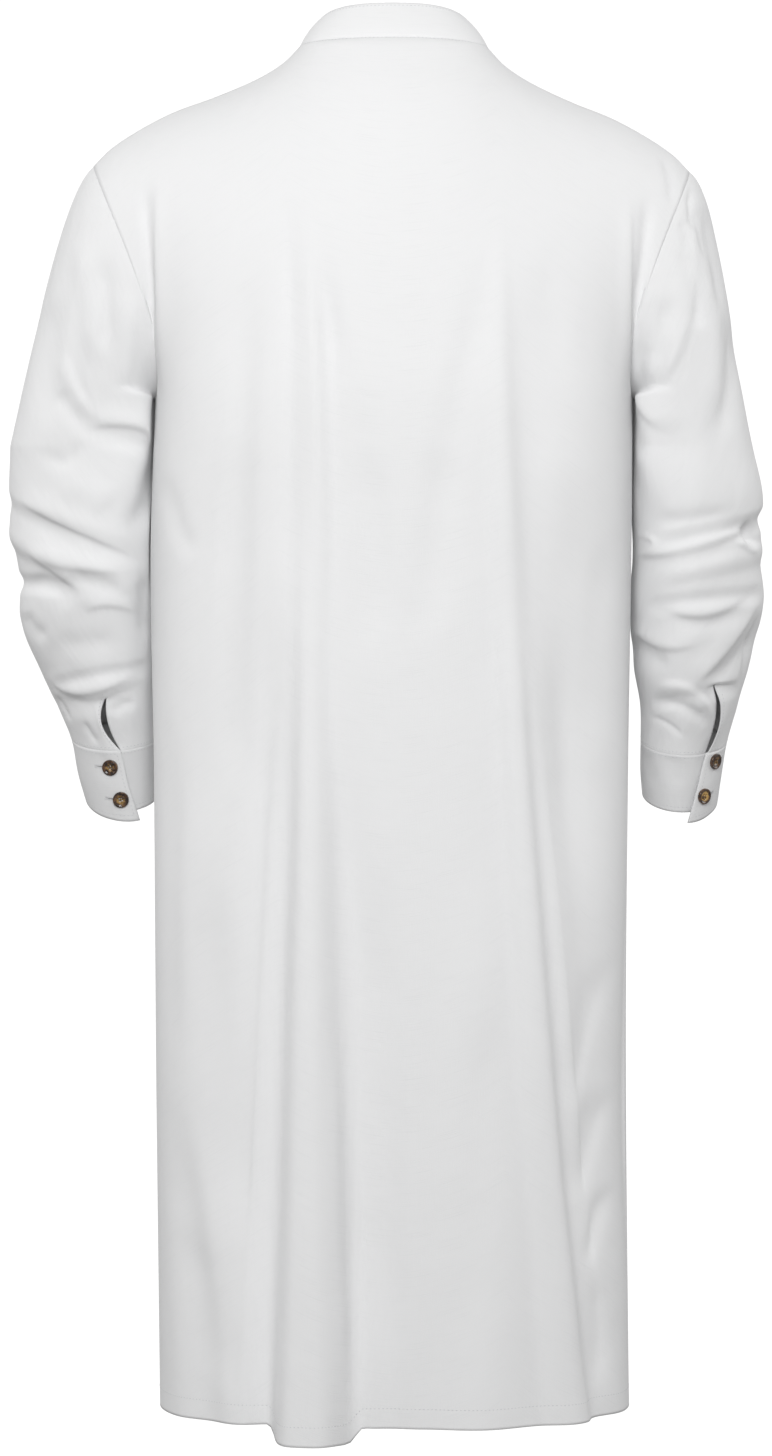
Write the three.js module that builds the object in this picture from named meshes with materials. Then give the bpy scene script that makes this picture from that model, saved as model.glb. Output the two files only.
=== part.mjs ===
import * as THREE from 'three';

// A long kaftan shirt: back and front panels, set-in sleeves with buttoned cuffs, a stand collar and
// a half placket. It keeps the hollow form it has when worn. Millimetres, +Z up, the front faces -Y
// and the wearer's left is +X. The origin is the middle of the neck, level with the collar seam behind.

const clothWall = 1.5;       // body and sleeves
const bandWall = 2.2;        // collar and cuffs, cut double
const stripWall = 1.2;       // placket strips
const seamGap = 0.3;         // between two sewn pieces
const layGap = 0.6;          // between cloth and what lies on it

const underarm = -291;       // level of the underarm point
const hemLevel = -1125;
const rowSag = 30;           // how far the underarm row dips from the side seam to the middle
const shoulderAcross = { left: 250, right: 246 };
const shoulderDrop = { left: 0, right: 5 };
const shoulderForward = -6;

const neck = { across: 78, behind: 62, ahead: 72, seamRise: 2, frontDrop: 70 };
const collarHeight = 29;
const collarLean = { side: 13, behind: 6, ahead: 7 };
const collarLapRise = 0.8;   // how far the collar's crossed ends stand off the neckline
const placketHalf = 15;
const stripStart = 0.17;     // the strips start and end part way between two grid rows
const stripEnd = 0.3;
const buttonSize = { radius: 6.75, rim: 3.0, dish: 1.5, foot: 1.2 };
const buttonShank = 0.8;     // how far a button's foot stands off the cloth

const halfColumns = 18;      // grid columns from the middle to the side seam
const neckColumns = 5;       // of these, the ones that end on the neckline
const armRows = 9;           // grid rows from the underarm to the shoulder
const skirtRows = 15;        // grid rows from the underarm to the hem
const slitRows = 1;          // skirt rows that the neck slit runs into
const headRows = 6;          // rings from the armhole to the upper arm
const armRings = 13;         // rings from the upper arm to the cuff
const cuffRings = 3;
const armColumns = 2 * armRows;
const armStart = -330;       // level of the first full ring of the arm

const shirtWhite = new THREE.MeshStandardMaterial({ color: 0xeef0f2, roughness: 0.85, metalness: 0 });
const hornBrown = new THREE.MeshStandardMaterial({ color: 0x3a2414, roughness: 0.35, metalness: 0 });

// Half sizes of the body below the underarm: to the wearer's left and right, behind and ahead.
const girth = [
  { level: -291, left: 198, right: 198, behind: 130, ahead: 124 },
  { level: -425, left: 202, right: 197, behind: 127, ahead: 122 },
  { level: -590, left: 199.5, right: 194.5, behind: 126, ahead: 122 },
  { level: -830, left: 197.5, right: 192.5, behind: 132, ahead: 126 },
  { level: -1125, left: 194, right: 195, behind: 140, ahead: 132 },
];
const squareness = 0.029;    // how far the body's section fills its corners

const shoulderLine = [
  { across: 78, level: 2 },
  { across: 92, level: -12 },
  { across: 114, level: -25.5 },
  { across: 149, level: -40.5 },
  { across: 183, level: -53 },
  { across: 212, level: -68 },
  { across: 236, level: -84 },
  { across: 250, level: -98 },
];

// Where the panels head as they leave the underarm row, and as they leave the top edge.
const armholeLead = {
  back: { up: [-20, 75, 41], down: [-10, 90, -32] },
  front: { up: [-26, -75, 41], down: [-18, -88, -32] },
};
const panelRise = { back: [0, 2, 112], front: [0, -1, 96] };
const topFall = {
  back: [
    { share: 0, across: 0, out: 52, down: -10 },
    { share: 0.28, across: 0, out: 92, down: -28 },
    { share: 0.65, across: 0, out: 94, down: -36 },
    { share: 1, across: -10, out: 90, down: -32 },
  ],
  front: [
    { share: 0, across: 0, out: -46, down: -40 },
    { share: 0.28, across: 0, out: -76, down: -36 },
    { share: 0.65, across: 0, out: -88, down: -36 },
    { share: 1, across: -18, out: -88, down: -32 },
  ],
};

// Folds of the two panels. The middle of each fold is at across[0] at its top, across[1] half way
// and across[2] at its foot; half and rise go from the top to the foot, and drop lowers the hem.
const backFolds = [
  { name: 'pipe', top: -330, foot: -1200, across: [70, 66, 66], half: [10, 37], rise: [3, 27], drop: 11 },
  { name: 'pipeInner', top: -560, foot: -1200, across: [52, 46, 33], half: [14, 26], rise: [-2, -11] },
  { name: 'pipeOuter', top: -480, foot: -1200, across: [80, 96, 106], half: [14, 24], rise: [-3, -15] },
  { name: 'rightRidge', top: -190, foot: -1180, across: [-82, -108, -146], half: [17, 26], rise: [4, 9],
    drop: 2 },
  { name: 'rightTrough', top: -380, foot: -1160, across: [-92, -128, -176], half: [12, 19], rise: [-3, -9] },
  { name: 'broadRidge', top: -640, foot: -1260, across: [-66, -68, -70], half: [40, 52], rise: [2, 11],
    drop: 5 },
  { name: 'middleTrough', top: -640, foot: -1240, across: [6, 6, 4], half: [22, 30], rise: [-2, -7] },
  { name: 'bladeLeft', top: -165, foot: -500, across: [64, 34, 6], half: [14, 20], rise: [-3, -3] },
  { name: 'bladeRight', top: -180, foot: -520, across: [-73, -44, -14], half: [14, 20], rise: [-3, -3] },
  { name: 'leftHollow', top: -190, foot: -620, across: [114, 128, 134], half: [18, 24], rise: [-3, -4] },
  { name: 'leftLower', top: -860, foot: -1230, across: [178, 160, 146], half: [18, 26], rise: [-3, -7] },
];
const frontFolds = [
  { name: 'chestLeft', top: -260, foot: -700, across: [96, 88, 72], half: [18, 26], rise: [-3, -4] },
  { name: 'chestRight', top: -240, foot: -640, across: [-104, -92, -84], half: [18, 24], rise: [-3, -4] },
  { name: 'leftPipe', top: -560, foot: -1230, across: [104, 98, 92], half: [16, 34], rise: [2, 17], drop: 6 },
  { name: 'leftTrough', top: -600, foot: -1220, across: [60, 54, 46], half: [16, 28], rise: [-2, -9] },
  { name: 'middleRidge', top: -680, foot: -1230, across: [4, 0, -6], half: [20, 34], rise: [2, 9], drop: 3 },
  { name: 'rightTrough', top: -520, foot: -1220, across: [-56, -62, -72], half: [16, 26], rise: [-2, -10] },
  { name: 'rightPipe', top: -620, foot: -1230, across: [-112, -118, -124], half: [16, 32], rise: [2, 14],
    drop: 5 },
];

// Rings of the arms. outer and inner are how far the ring's sides are from the middle of the shirt,
// middle and depth its centre and half depth along Y, and tip how far its back hangs below its middle.
const armShape = {
  left: [
    { level: -330, outer: 320, inner: 199, middle: -18, depth: 59, tip: 3 },
    { level: -385, outer: 321, inner: 198, middle: -23, depth: 60, tip: 5 },
    { level: -440, outer: 313, inner: 198, middle: -32, depth: 58, tip: 8 },
    { level: -476, outer: 313, inner: 198, middle: -42, depth: 56, tip: 10 },
    { level: -516, outer: 297, inner: 199, middle: -54, depth: 52, tip: 12 },
    { level: -545, outer: 284, inner: 200, middle: -62, depth: 47, tip: 12 },
    { level: -572, outer: 273, inner: 200, middle: -70, depth: 42, tip: 12 },
    { level: -600, outer: 268, inner: 200, middle: -78, depth: 41, tip: 14 },
    { level: -621, outer: 262, inner: 200, middle: -84, depth: 41, tip: 15 },
  ],
  right: [
    { level: -330, outer: 299, inner: 199, middle: -18, depth: 64, tip: 3 },
    { level: -372, outer: 308, inner: 198, middle: -22, depth: 65, tip: 5 },
    { level: -420, outer: 306, inner: 200, middle: -30, depth: 62, tip: 7 },
    { level: -458, outer: 310, inner: 198, middle: -38, depth: 60, tip: 9 },
    { level: -513, outer: 299, inner: 202, middle: -52, depth: 54, tip: 12 },
    { level: -545, outer: 290, inner: 208, middle: -62, depth: 48, tip: 12 },
    { level: -575, outer: 282, inner: 209, middle: -71, depth: 42, tip: 13 },
    { level: -600, outer: 278, inner: 209, middle: -78, depth: 42, tip: 14 },
    { level: -621, outer: 275, inner: 211, middle: -84, depth: 42, tip: 15 },
  ],
};
const cuffLevel = { left: -572, right: -575 };
const cuffEnd = -621;

// Which way the sleeve leaves the armhole and arrives at the first full ring, round the arm.
const headLead = {
  over: { leave: [25, -3, -17], arrive: [18, -3, -80] },
  behind: { leave: [28, 5, -30], arrive: [8, -6, -50] },
  under: { leave: [15, -3, -8], arrive: [-3, -4, -16] },
  ahead: { leave: [26, -6, -30], arrive: [8, -8, -50] },
};

// Folds across the arms. Turn is the angle round the arm from its outer side, over the back.
const armFolds = {
  left: [
    { name: 'elbowCrease', turn: [-30, 156], level: [-366, -430], half: 13, rise: -7 },
    { name: 'elbowRoll', turn: [-20, 150], level: [-395, -452], half: 15, rise: 5 },
    { name: 'lowerCrease', turn: [-30, 90], level: [-440, -450], half: 11, rise: -5 },
    { name: 'upperArc', turn: [80, 165], level: [-312, -344], half: 13, rise: -4 },
    { name: 'upperHollow', turn: [62, 84], level: [-170, -318], half: 13, rise: -3 },
    { name: 'forearmArc', turn: [30, 160], level: [-532, -512], half: 10, rise: -4 },
    { name: 'frontElbow', turn: [200, 330], level: [-428, -372], half: 14, rise: -6 },
    { name: 'frontForearm', turn: [210, 330], level: [-500, -470], half: 12, rise: -4 },
  ],
  right: [
    { name: 'elbowCrease', turn: [-30, 140], level: [-384, -418], half: 13, rise: -7 },
    { name: 'elbowRoll', turn: [-20, 140], level: [-412, -440], half: 14, rise: 4 },
    { name: 'lowerCrease', turn: [10, 150], level: [-452, -466], half: 11, rise: -4 },
    { name: 'upperRidge', turn: [86, 140], level: [-168, -292], half: 15, rise: 5 },
    { name: 'upperValley', turn: [62, 70], level: [-170, -240], half: 12, rise: -4 },
    { name: 'forearmArc', turn: [20, 150], level: [-530, -545], half: 10, rise: -3 },
    { name: 'frontElbow', turn: [205, 335], level: [-420, -380], half: 14, rise: -6 },
    { name: 'frontForearm', turn: [200, 320], level: [-505, -480], half: 12, rise: -4 },
  ],
};

// The slit above each cuff: the column it starts from, how far its ends swing round the arm at its
// top, its middle and the cuff, in degrees, and how wide it stands open half way.
const slitShape = {
  left: { column: 5, swing: [-3, -12, 3], open: 6, rings: 3 },
  right: { column: 3, swing: [12, -3, 2], open: 4, rings: 3 },
};
const tuckDepth = bandWall + layGap;
const tuckTurn = 50;         // degrees over which the underlap sinks below the overlap
const lapTurns = [16, 34];   // the underlap's columns past the slit, in degrees
const cuffSkew = { left: 20, right: 24 };
const bodyClearance = 2.4;   // between the outer faces of the body and an arm

const { lerp, smoothstep, degToRad } = THREE.MathUtils;
const vector = (parts) => new THREE.Vector3(...parts);

// A smooth curve through one column of a table, read at a value of the key column.
function readTable(rows, key, value, column) {
  const down = rows[0][key] > rows[rows.length - 1][key];
  let at = rows.findIndex((row) => (down ? row[key] < value : row[key] > value));
  if (at === 0) return rows[0][column];
  if (at < 0) return rows[rows.length - 1][column];
  at -= 1;
  const slopeAt = (index) => {
    const before = rows[Math.max(index - 1, 0)];
    const after = rows[Math.min(index + 1, rows.length - 1)];
    return (after[column] - before[column]) / (after[key] - before[key]);
  };
  const [start, end] = [rows[at], rows[at + 1]];
  const span = end[key] - start[key];
  const t = (value - start[key]) / span;
  const bend = t * t * (3 - 2 * t);
  const startPull = t * (1 - t) * (1 - t) * span * slopeAt(at);
  const endPull = t * t * (1 - t) * span * slopeAt(at + 1);
  return lerp(start[column], end[column], bend) + startPull - endPull;
}

const throughThree = (values, t) =>
  values[0] * (1 - t) * (1 - 2 * t) + values[1] * 4 * t * (1 - t) + values[2] * t * (2 * t - 1);

const sideOf = (across) => (across >= 0 ? 'left' : 'right');

// One point of the body's section. Share runs from -1 at the right side seam to 1 at the left one.
function sectionPoint(face, share, level) {
  const turn = share * Math.PI / 2;
  const wide = readTable(girth, 'level', level, sideOf(share));
  const deep = readTable(girth, 'level', level, face === 'back' ? 'behind' : 'ahead');
  const x = wide * (Math.sin(turn) + squareness * Math.sin(3 * turn)) / (1 - squareness);
  const y = deep * (Math.cos(turn) - squareness * Math.cos(3 * turn)) / (1 - squareness);
  return new THREE.Vector3(x, face === 'back' ? y : -y, level);
}

const underarmRow = (share) => underarm - rowSag * (1 - share ** 4);

// The neckline, by the angle from its middle (0) to the neck point (90 degrees, signed by side).
function necklinePoint(face, turn) {
  const reach = Math.cos(turn);
  const x = neck.across * Math.sin(turn);
  const y = shoulderForward + (face === 'back' ? neck.behind * reach : -neck.ahead * reach);
  const dip = face === 'back' ? neck.seamRise * (1 - reach) : neck.seamRise - neck.frontDrop * reach ** 1.3;
  return new THREE.Vector3(x, y, dip - sideDrop(x));
}

const sideDrop = (across) => shoulderDrop[sideOf(across)] * smoothstep(Math.abs(across), 20, 200);

// The top edge of a panel: the neckline in the middle, then the shoulder seam out to the sleeve.
function topPoint(face, share) {
  const neckShare = neckColumns / halfColumns;
  if (Math.abs(share) <= neckShare) return necklinePoint(face, share / neckShare * Math.PI / 2);
  const along = (Math.abs(share) - neckShare) / (1 - neckShare);
  const flat = lerp(neck.across, shoulderLine[shoulderLine.length - 1].across, along);
  const across = lerp(neck.across, shoulderAcross[sideOf(share)], along) * Math.sign(share);
  const level = readTable(shoulderLine, 'across', flat, 'level') - sideDrop(across);
  return new THREE.Vector3(across, shoulderForward, level);
}

// A panel above the underarm: each column is a curve from the underarm row to the top edge.
function upperPoint(face, share, climb) {
  const side = Math.sign(share);
  const start = sectionPoint(face, share, underarm).setZ(underarmRow(share));
  const end = topPoint(face, share);
  const edge = Math.abs(share) ** 5;
  const leave = vector(panelRise[face]).lerp(vector(armholeLead[face].up), edge);
  const fall = (column) => readTable(topFall[face], 'share', Math.abs(share), column);
  const arrive = new THREE.Vector3(fall('across'), fall('out'), fall('down'));
  leave.x *= side;
  arrive.x *= side;
  const curve = new THREE.CubicBezierCurve3(start, leave.add(start), arrive.add(end), end);
  return curve.getPoint(climb);
}

const lowerPoint = (face, share, fallen) =>
  sectionPoint(face, share, lerp(underarmRow(share), hemLevel, fallen));

const panelPoint = (face, share, row) =>
  (row <= armRows
    ? upperPoint(face, share, 1 - row / armRows)
    : lowerPoint(face, share, (row - armRows) / skirtRows));

// How far the folds move one place of a panel out (rise) and its hem down (drop).
function panelFold(folds, x, z) {
  let rise = 0;
  let drop = 0;
  for (const fold of folds) {
    const along = (fold.top - z) / (fold.top - fold.foot);
    if (along <= 0 || along >= 1) continue;
    const away = Math.abs(x - throughThree(fold.across, along)) / lerp(...fold.half, along);
    if (away >= 1) continue;
    const profile = Math.cos(away * Math.PI / 2) ** 2;
    const fade = smoothstep(along, 0, 0.25) * (1 - smoothstep(along, 0.85, 1) * (fold.foot > hemLevel));
    rise += lerp(...fold.rise, along) * fade * profile;
    drop += (fold.drop ?? 0) * along ** 3 * profile;
  }
  return { rise, drop };
}

// One point of a sleeve's head, between the armhole and the first full ring of the arm.
function headPoint(side, turn, climb) {
  const flip = side === 'left' ? 1 : -1;
  const face = turn <= 180 ? 'back' : 'front';
  const around = turn <= 180 ? turn / 180 : 2 - turn / 180;
  const start = upperPoint(face, flip, 1 - around);
  const end = armPoint(side, turn, armStart);
  const lean = (key) => {
    const angle = degToRad(turn);
    const sum = new THREE.Vector3();
    const toward = Math.cos(angle) >= 0 ? headLead.over : headLead.under;
    const beside = Math.sin(angle) >= 0 ? headLead.behind : headLead.ahead;
    sum.addScaledVector(vector(toward[key]), Math.cos(angle) ** 2);
    sum.addScaledVector(vector(beside[key]), Math.sin(angle) ** 2);
    return sum.setX(sum.x * flip);
  };
  const leave = lean('leave').add(start);
  const arrive = end.clone().sub(lean('arrive'));
  return new THREE.CubicBezierCurve3(start, leave, arrive, end).getPoint(climb);
}

// One point of the arm below the head and of the cuff. The ring's back hangs lower than its middle.
// Turn goes on past 360 degrees at the overlap's end.
function armPoint(side, turn, level) {
  const flip = side === 'left' ? 1 : -1;
  const read = (column) => readTable(armShape[side], 'level', level, column);
  const angle = degToRad(turn);
  const half = (read('outer') - read('inner')) / 2 - armTuck(side, turn, level);
  const deep = read('depth') - armTuck(side, turn, level);
  const x = (read('outer') + read('inner')) / 2 + half * Math.cos(angle);
  const y = read('middle') + deep * Math.sin(angle);
  return new THREE.Vector3(x * flip, y, level - read('tip') * Math.sin(angle));
}

// Past the slit the underlap sinks below the overlap, more and more towards the cuff.
function armTuck(side, turn, level) {
  const slit = slitShape[side];
  const slitTurn = slit.column * 360 / armColumns;
  const past = turn - slitTurn;
  const sunk = past < 0 ? 0 : 1 - smoothstep(past, 0, tuckTurn);
  const cuff = cuffLevel[side];
  const ringStep = (armStart - cuff) / armRings;
  const fallen = 1 - smoothstep(level, cuff, cuff + slit.rings * ringStep);
  return tuckDepth * sunk * fallen;
}

function armFold(side, turn, level) {
  let rise = 0;
  const girthStep = 56;
  for (const fold of armFolds[side]) {
    const from = new THREE.Vector2(degToRad(fold.turn[0]) * girthStep, fold.level[0]);
    const to = new THREE.Vector2(degToRad(fold.turn[1]) * girthStep, fold.level[1]);
    const run = to.clone().sub(from);
    for (const lap of [0, -360]) {
      const at = new THREE.Vector2(degToRad(turn + lap) * girthStep, level).sub(from);
      const along = at.dot(run) / run.lengthSq();
      const away = Math.abs(at.cross(run)) / run.length() / fold.half;
      if (along <= 0 || along >= 1 || away >= 1) continue;
      const fade = smoothstep(along, 0, 0.2) * (1 - smoothstep(along, 0.8, 1));
      rise += fold.rise * fade * Math.cos(away * Math.PI / 2) ** 2;
    }
  }
  return rise;
}

// Normals of a grid of points, from the directions along its rows and columns.
function gridNormal(rows, row, column) {
  const last = rows.length - 1;
  const width = rows[row].length - 1;
  const alongRow = rows[row][Math.min(column + 1, width)].clone().sub(rows[row][Math.max(column - 1, 0)]);
  const downRows = rows[Math.min(row + 1, last)][column].clone().sub(rows[Math.max(row - 1, 0)][column]);
  return downRows.cross(alongRow).normalize();
}

// The grid of one panel, from its top edge to the hem and from the right side seam to the left one.
// Seen from outside the back's rows run to the left, so the front's are turned round.
function panelGrid(face, folds) {
  const base = [];
  for (let row = 0; row <= armRows + skirtRows; row += 1) {
    const points = [];
    for (let column = -halfColumns; column <= halfColumns; column += 1) {
      points.push(panelPoint(face, column / halfColumns, row));
    }
    base.push(points);
  }
  const outward = face === 'back' ? -1 : 1;
  return base.map((points, row) => points.map((point, column) => {
    const share = Math.abs(column / halfColumns - 1);
    const calm = smoothstep(1 - share, 0, 0.08) * smoothstep(row, 0, 1.5);
    const { rise, drop } = panelFold(folds, point.x, point.z);
    const moved = point.clone().addScaledVector(gridNormal(base, row, column), rise * calm * outward);
    moved.z -= drop * calm;
    return moved;
  }));
}

// Cut a panel's grid down its middle column for the neck slit, and give its two halves.
function slitHalves(grid, slitEnd) {
  const middle = halfColumns;
  const edge = (direction) => grid.map((points, row) => {
    const kept = direction > 0 ? points.slice(middle) : points.slice(0, middle + 1);
    if (row >= slitEnd) return kept;
    const seam = direction > 0 ? 0 : kept.length - 1;
    const open = kept.slice();
    open[seam] = kept[seam].clone().setX(direction * seamGap);
    return open;
  });
  return [edge(-1), edge(1)];
}

// The grid of one sleeve: rings from the armhole to the cuff seam, each starting and ending at the slit.
function sleeveGrid(side) {
  const slit = slitShape[side];
  const step = 360 / armColumns;
  const turns = Array.from({ length: armColumns + 1 }, (_, index) => (slit.column + index) * step);
  const base = [];
  for (let ring = 0; ring <= headRows; ring += 1) {
    base.push(turns.map((turn) => headPoint(side, turn % 360, ring / headRows)));
  }
  for (let ring = 1; ring <= armRings; ring += 1) {
    const level = lerp(armStart, cuffLevel[side], ring / armRings);
    base.push(turns.map((turn) => armPoint(side, turn, level)));
  }
  const outward = side === 'left' ? 1 : -1;
  const slitTop = base.length - 1 - slit.rings;
  return base.map((points, ring) => points.map((point, column) => {
    const calm = smoothstep(ring, 0, 1.5) * (1 - smoothstep(ring, base.length - 3, base.length - 1));
    const rise = armFold(side, turns[column] % 360, point.z) * calm;
    const normal = wrappedNormal(base, ring, column);
    const moved = point.clone().addScaledVector(normal, rise * outward);
    if (column === 0 || column === armColumns) moved.copy(slitEdge(side, moved, ring - slitTop, column));
    return clearBody(side, moved);
  }));
}

// As gridNormal, on a ring whose first and last points are the same.
function wrappedNormal(rows, ring, column) {
  const points = rows[ring];
  const count = points.length - 1;
  const next = points[column === count ? 1 : column + 1];
  const before = points[column === 0 ? count - 1 : column - 1];
  const below = rows[Math.min(ring + 1, rows.length - 1)][column];
  const above = rows[Math.max(ring - 1, 0)][column];
  return below.clone().sub(above).cross(next.clone().sub(before)).normalize();
}

// Open the slit: its two edges part half way down it and meet again at the cuff.
function slitEdge(side, point, past, column) {
  const slit = slitShape[side];
  if (past <= 0) return point;
  const along = past / slit.rings;
  const swing = throughThree(slit.swing, along);
  const parted = slit.open * Math.sin(Math.PI * along) / 2;
  const flip = side === 'left' ? 1 : -1;
  const over = column === armColumns;
  const shift = (over ? 1 : -1) * (parted + seamGap) - swing * 0.6;
  return point.clone().setX(point.x + flip * shift);
}

// Keep an arm just clear of the body's side.
function clearBody(side, point) {
  if (point.z > underarm - 12) return point;
  const level = Math.max(point.z, hemLevel);
  const across = side === 'left' ? 1 : -1;
  const wide = readTable(girth, 'level', level, side);
  const deep = readTable(girth, 'level', level, point.y > 0 ? 'behind' : 'ahead');
  const reach = Math.min(Math.abs(point.y) / deep, 1);
  const edge = wide * (1 - reach ** 2.35) ** (1 / 2.35) + bodyClearance;
  if (point.x * across >= edge) return point;
  return point.clone().setX(edge * across);
}

// The grid of a cuff: the arm's rings go on, past the slit as an underlap, and the overlap's end slants.
function cuffGrid(side) {
  const slit = slitShape[side];
  const step = 360 / armColumns;
  const start = slit.column * step;
  const laps = lapTurns.slice().reverse().map((turn) => start - turn);
  const turns = Array.from({ length: armColumns + 1 }, (_, index) => start + index * step);
  const sleeve = sleeveGrid(side);
  const seam = sleeve[sleeve.length - 1];
  const rows = [];
  for (let ring = 0; ring <= cuffRings; ring += 1) {
    const level = lerp(cuffLevel[side], cuffEnd, ring / cuffRings);
    const skew = cuffSkew[side] * ring / cuffRings;
    const under = laps.map((turn) => clearBody(side, sunkPoint(side, turn, level)));
    const around = turns.map((turn, index) => {
      const slant = skew * smoothstep(index, armColumns - 5, armColumns);
      return ring === 0 ? seam[index].clone() : clearBody(side, armPoint(side, turn + slant, level));
    });
    rows.push(under.concat(around));
  }
  return rows;
}

function sunkPoint(side, turn, level) {
  const point = armPoint(side, turn, level);
  const angle = degToRad(turn);
  const flip = side === 'left' ? 1 : -1;
  point.x -= flip * tuckDepth * Math.cos(angle);
  point.y -= tuckDepth * Math.sin(angle);
  return point;
}

// The collar: a band up from the neckline. Around is the angle from the front middle over the right.
// Its ends cross at the front, the left one outside, on the straight edge between two neckline points.
function collarGrid() {
  const lap = 0.6;
  const step = 90 / neckColumns;
  const turns = [-lap * step];
  for (let around = 0; around <= 360; around += step) turns.push(around);
  turns.push(360 + lap * step);
  return [1, 0.5, 0].map((height) => turns.map((around) => {
    const face = around > 90 && around < 270 ? 'back' : 'front';
    const turn = face === 'back' ? around - 180 : (around <= 90 ? -around : 360 - around);
    const crossed = around < 0 || around > 360;
    const straight = necklinePoint(face, 0).lerp(necklinePoint(face, degToRad(Math.sign(turn) * step)), lap);
    const point = crossed ? straight : necklinePoint(face, degToRad(turn));
    point.z += crossed ? collarLapRise : collarLapRise * smoothstep(around, 318, 346);
    const reach = Math.cos(degToRad(turn));
    const outside = (bandWall + layGap) * smoothstep(around, 318, 346);
    point.y -= outside * Math.abs(reach);
    point.x += outside * Math.sin(degToRad(turn)) * 0.5;
    point.x -= collarLean.side * height * Math.sin(degToRad(turn));
    point.y += (face === 'back' ? -collarLean.behind : collarLean.ahead) * height * reach;
    point.z += collarHeight * height;
    return point;
  }));
}

// A placket strip, made from the front panel's own points either side of the slit.
function stripGrid(front) {
  const slitEnd = armRows + slitRows;
  const between = (row, part) =>
    front[row].map((point, column) => point.clone().lerp(front[row + 1][column], part));
  const rows = [between(0, stripStart), ...front.slice(1, slitEnd + 1), between(slitEnd, stripEnd)];
  return rows.map((points) => {
    const middle = points[halfColumns];
    const beside = (direction) => {
      const next = points[halfColumns + direction];
      return middle.clone().lerp(next, placketHalf / Math.abs(next.x - middle.x));
    };
    return [beside(-1), middle.clone(), beside(1)];
  });
}

const placeKey = (point) => [point.x, point.y, point.z].map((value) => Math.round(value * 200)).join(' ');

// Triangles of a piece's outer face over its welded points.
function weldPiece(piece) {
  const index = new Map();
  const points = [];
  const idOf = (point) => {
    const key = placeKey(point);
    if (!index.has(key)) {
      index.set(key, points.length);
      points.push(point);
    }
    return index.get(key);
  };
  const triangles = [];
  for (const grid of piece.grids) {
    for (let row = 0; row + 1 < grid.length; row += 1) {
      for (let column = 0; column + 1 < grid[row].length; column += 1) {
        const corners = [grid[row][column], grid[row + 1][column],
          grid[row + 1][column + 1], grid[row][column + 1]].map(idOf);
        if (piece.turned) corners.reverse();
        triangles.push([corners[0], corners[1], corners[2]], [corners[0], corners[2], corners[3]]);
      }
    }
  }
  return { ...piece, points, triangles: triangles.filter(([a, b, c]) => a !== b && b !== c && a !== c) };
}

// Normals shared by all pieces that meet at a point, so that their walls lean the same way at a seam.
function sharedNormals(pieces) {
  const sums = new Map();
  for (const piece of pieces) {
    for (const corners of piece.triangles) {
      const [a, b, c] = corners.map((id) => piece.points[id]);
      const normal = b.clone().sub(a).cross(c.clone().sub(a));
      for (const id of corners) {
        const key = placeKey(piece.points[id]);
        if (!sums.has(key)) sums.set(key, new THREE.Vector3());
        sums.get(key).add(normal);
      }
    }
  }
  return sums;
}

// The edges that only one triangle uses, in the direction that it uses them.
function openEdges(triangles) {
  const edges = new Map();
  for (const [a, b, c] of triangles) {
    for (const [from, to] of [[a, b], [b, c], [c, a]]) {
      if (edges.has(`${to} ${from}`)) edges.delete(`${to} ${from}`);
      else edges.set(`${from} ${to}`, [from, to]);
    }
  }
  return [...edges.values()];
}

// Draw a piece's edge in by half the seam gap, square to the edge and along the cloth.
function insetPoints(piece, normals, edges) {
  const inward = new Map();
  for (const [from, to] of edges) {
    const along = piece.points[to].clone().sub(piece.points[from]).normalize();
    for (const id of [from, to]) {
      const direction = normals[id].clone().cross(along).normalize();
      if (!inward.has(id)) inward.set(id, []);
      inward.get(id).push(direction);
    }
  }
  return piece.points.map((point, id) => {
    const directions = inward.get(id);
    if (!directions) return point.clone();
    const sum = directions.reduce((total, direction) => total.add(direction), new THREE.Vector3());
    const spread = directions.length > 1 ? 1 + directions[0].dot(directions[1]) : 1;
    return point.clone().addScaledVector(sum, seamGap / 2 / Math.max(spread, 0.5));
  });
}

// Close a piece into a solid wall: its outer face, its inner face and the strips along its edges. Two
// pieces that share an edge split its strip along the same diagonal, so the strips stay parallel.
function clothMesh(piece, sums) {
  const normals = piece.points.map((point) => sums.get(placeKey(point)).clone().normalize());
  const edges = openEdges(piece.triangles);
  const drawn = insetPoints(piece, normals, edges);
  const raise = piece.raise ?? 0;
  const outer = drawn.map((point, id) => point.clone().addScaledVector(normals[id], raise));
  const inner = drawn.map((point, id) => point.clone().addScaledVector(normals[id], raise - piece.wall));
  const count = outer.length;
  const faces = piece.triangles.flatMap(([a, b, c]) => [[a, b, c], [c + count, b + count, a + count]]);
  for (const [from, to] of edges) {
    if (placeKey(piece.points[from]) < placeKey(piece.points[to])) {
      faces.push([to, from, to + count], [from, from + count, to + count]);
    } else {
      faces.push([to, from, from + count], [to, from + count, to + count]);
    }
  }
  const geometry = new THREE.BufferGeometry();
  geometry.setAttribute('position', new THREE.Float32BufferAttribute(
    outer.concat(inner).flatMap((point) => point.toArray()), 3));
  geometry.setIndex(faces.flat());
  geometry.computeVertexNormals();
  const mesh = new THREE.Mesh(geometry, shirtWhite);
  mesh.name = piece.name;
  return mesh;
}

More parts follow.
